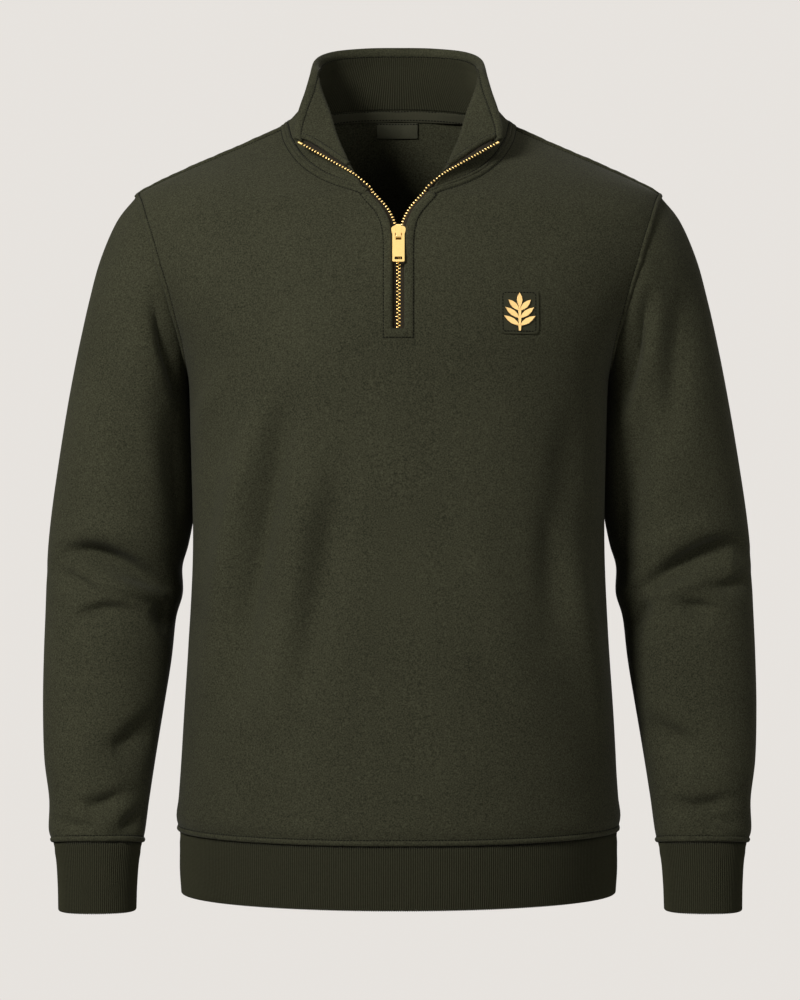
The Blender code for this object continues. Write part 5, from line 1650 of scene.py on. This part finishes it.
plan = rounded_box(PATCH_CENTRE, [side - 2 * PATCH_MARGIN for side in PATCH_SIZE], PATCH_CORNER)
stitch_trim(patch, plan, BEFORE_CHEST_Y, closed=True)
label_x = LABEL_CENTRE_X + np.linspace(-LABEL_STITCH_REACH, LABEL_STITCH_REACH, 30)
stitch_trim(label, [(x, LABEL_STITCH_Z) for x in label_x])
for below in TAPE_STITCHES_BELOW:
    plan = round_the_neck(back)[:, [0, 2]] - np.array([0.0, below])
    stitch_trim(tape, plan[np.abs(plan[:, 0]) < TAPE_STITCH_REACH])
print({group: len(lines) for group, lines in stitch_lines.items()})

# %% Stitches, teeth and stops
STITCH_PITCH = 2.8
TOOTH_PITCH = 3.1
STITCH_SECTIONS = ((-1.05, 0.2, 0.08), (-0.7, 0.55, 0.3), (0.7, 0.55, 0.3), (1.05, 0.2, 0.08))
TOOTH_SECTIONS = ((-0.68, 1.1, 0.7), (-0.45, 1.5, 1.05), (0.45, 1.5, 1.05), (0.68, 1.1, 0.7))
STOP_SECTIONS = ((-1.1, 0.9, 0.7), (-0.7, 1.5, 1.2), (0.7, 1.5, 1.2), (1.1, 0.9, 0.7))
STOP_LENGTH = 1.6
FIRST_TOOTH = 8.0
STITCH_LEAST_SCALE = 0.85

stitches = [
    repeat_along(
        group + "_stitches",
        lines,
        small_shape("stitch", STITCH_SECTIONS, 6),
        STITCH_PITCH,
        STITCH_LEAST_SCALE,
        THREAD_WITH_PAINTED_SHADE,
        "tape" if group == "trim" else "fleece",
    )
    for group, lines in stitch_lines.items()
]
fine_line, fine_up = along_path(tooth_path, [tape_up], TOOTH_PITCH / 2)
start = int(round(FIRST_TOOTH / (TOOTH_PITCH / 2)))
tooth_lines = [
    (fine_line[start::2], fine_up[start::2], False),
    (mirrored(fine_line[start + 1 :: 2]), mirrored(fine_up[start + 1 :: 2]), False),
]
teeth = repeat_along(
    "zip_teeth", tooth_lines, small_shape("tooth", TOOTH_SECTIONS, 8), TOOTH_PITCH, 1.0, GOLD, "gold"
)
along = tooth_path[-1] - tooth_path[-2]
along *= STOP_LENGTH / np.linalg.norm(along)
stop = np.array([tooth_path[-1] + along, tooth_path[-1] + 2 * along])
stop_up = np.array([tape_up[-1], tape_up[-1]])
stop_lines = [(stop, stop_up, False), (mirrored(stop), mirrored(stop_up), False)]
stops = repeat_along(
    "zip_top_stops", stop_lines, small_shape("stop", STOP_SECTIONS, 10), STOP_LENGTH, 1.0, GOLD, "gold"
)
print("stitch faces", [len(piece.data.polygons) for piece in stitches])
print("teeth faces", len(teeth.data.polygons), "stop faces", len(stops.data.polygons))

# %% [markdown]
# ## Stage, light and camera
#
# A plain pale room with soft light from the front shows dark cloth best: the main light is high and
# to the left, a weaker one fills from the right, one from above draws the shoulder line, and one from
# behind lights the back. What metal reflects is a brighter room, lightest at the top.

# %% Stage
BACKDROP = (0.80, 0.77, 0.735, 1.0)
ROOM_LIGHT = 0.11
REFLECTED_LIGHT = 0.95
REFLECTED_SLOPE = 0.8
FLOOR_Z = -2.3
FLOOR_RADIUS = 2.5
FLOOR_SIDES = 96
FLOOR_FADE = 1.2
LIGHT_AIM = (0.0, 0.0, -0.35)

world = bpy.data.worlds.new("studio")
world.use_nodes = True
tree = world.node_tree
seen = Wire.put(tree, "ShaderNodeLightPath", {}, {}, output="Is Camera Ray")
shiny = Wire.put(tree, "ShaderNodeLightPath", {}, {}, output="Is Glossy Ray")
height = Wire.put(tree, "ShaderNodeTexCoord", {}, {}, output="Generated").part(2)
reflected = height * REFLECTED_SLOPE + (REFLECTED_LIGHT - ROOM_LIGHT)
strength = seen * (1.0 - ROOM_LIGHT) + shiny * reflected + ROOM_LIGHT
room = Wire.put(tree, "ShaderNodeBackground", {}, {"Color": BACKDROP, "Strength": strength})
tree.links.new(room.socket, tree.nodes["World Output"].inputs["Surface"])
bpy.context.scene.world = world
bpy.context.scene.view_settings.view_transform = "Standard"

paint = Finish("floor_paint", roughness=0.9)
x, y = paint.places.part(0), paint.places.part(1)
far = (x * x + y * y).power(0.5)
paint.link("Alpha", ((FLOOR_RADIUS - far) * FLOOR_FADE).clamped())
paint.shade(paint.places.noise(3.0, 3.0).mix(BACKDROP, tint(BACKDROP[:3], 0.97)))
turns = [k * TURN / FLOOR_SIDES for k in range(FLOOR_SIDES)]
ring = [(FLOOR_RADIUS * math.cos(turn), FLOOR_RADIUS * math.sin(turn), FLOOR_Z) for turn in turns]
floor_mesh = bpy.data.meshes.new("floor")
floor_mesh.from_pydata(ring, [], [tuple(range(FLOOR_SIDES))])
floor_mesh.materials.append(paint.material)
floor = bpy.data.objects.new("floor", floor_mesh)
link(floor)


def add_light(name, spot, size, watts):
    light = bpy.data.lights.new(name, "AREA")
    light.shape = "DISK"
    light.size = size
    light.energy = watts
    lamp = bpy.data.objects.new(name, light)
    lamp.location = spot
    aim = Vector(LIGHT_AIM) - Vector(spot)
    lamp.rotation_euler = aim.to_track_quat("-Z", "Y").to_euler()
    link(lamp)


add_light("key", (-1.6, -2.15, 1.0), 0.8, 65.0)
add_light("fill", (1.9, -2.6, 0.2), 1.6, 15.0)
add_light("top", (0.0, 0.4, 2.2), 1.6, 3.0)
add_light("back", (0.3, 2.7, 0.5), 1.6, 24.0)

camera_data = bpy.data.cameras.new("camera")
camera_data.lens = 113.6
camera_data.sensor_width = 36.0
camera = bpy.data.objects.new("camera", camera_data)
camera.location = (0.00135, -2.84, -0.336)
camera.rotation_euler = (math.pi / 2, 0.0, 0.0)
link(camera)
bpy.context.scene.camera = camera
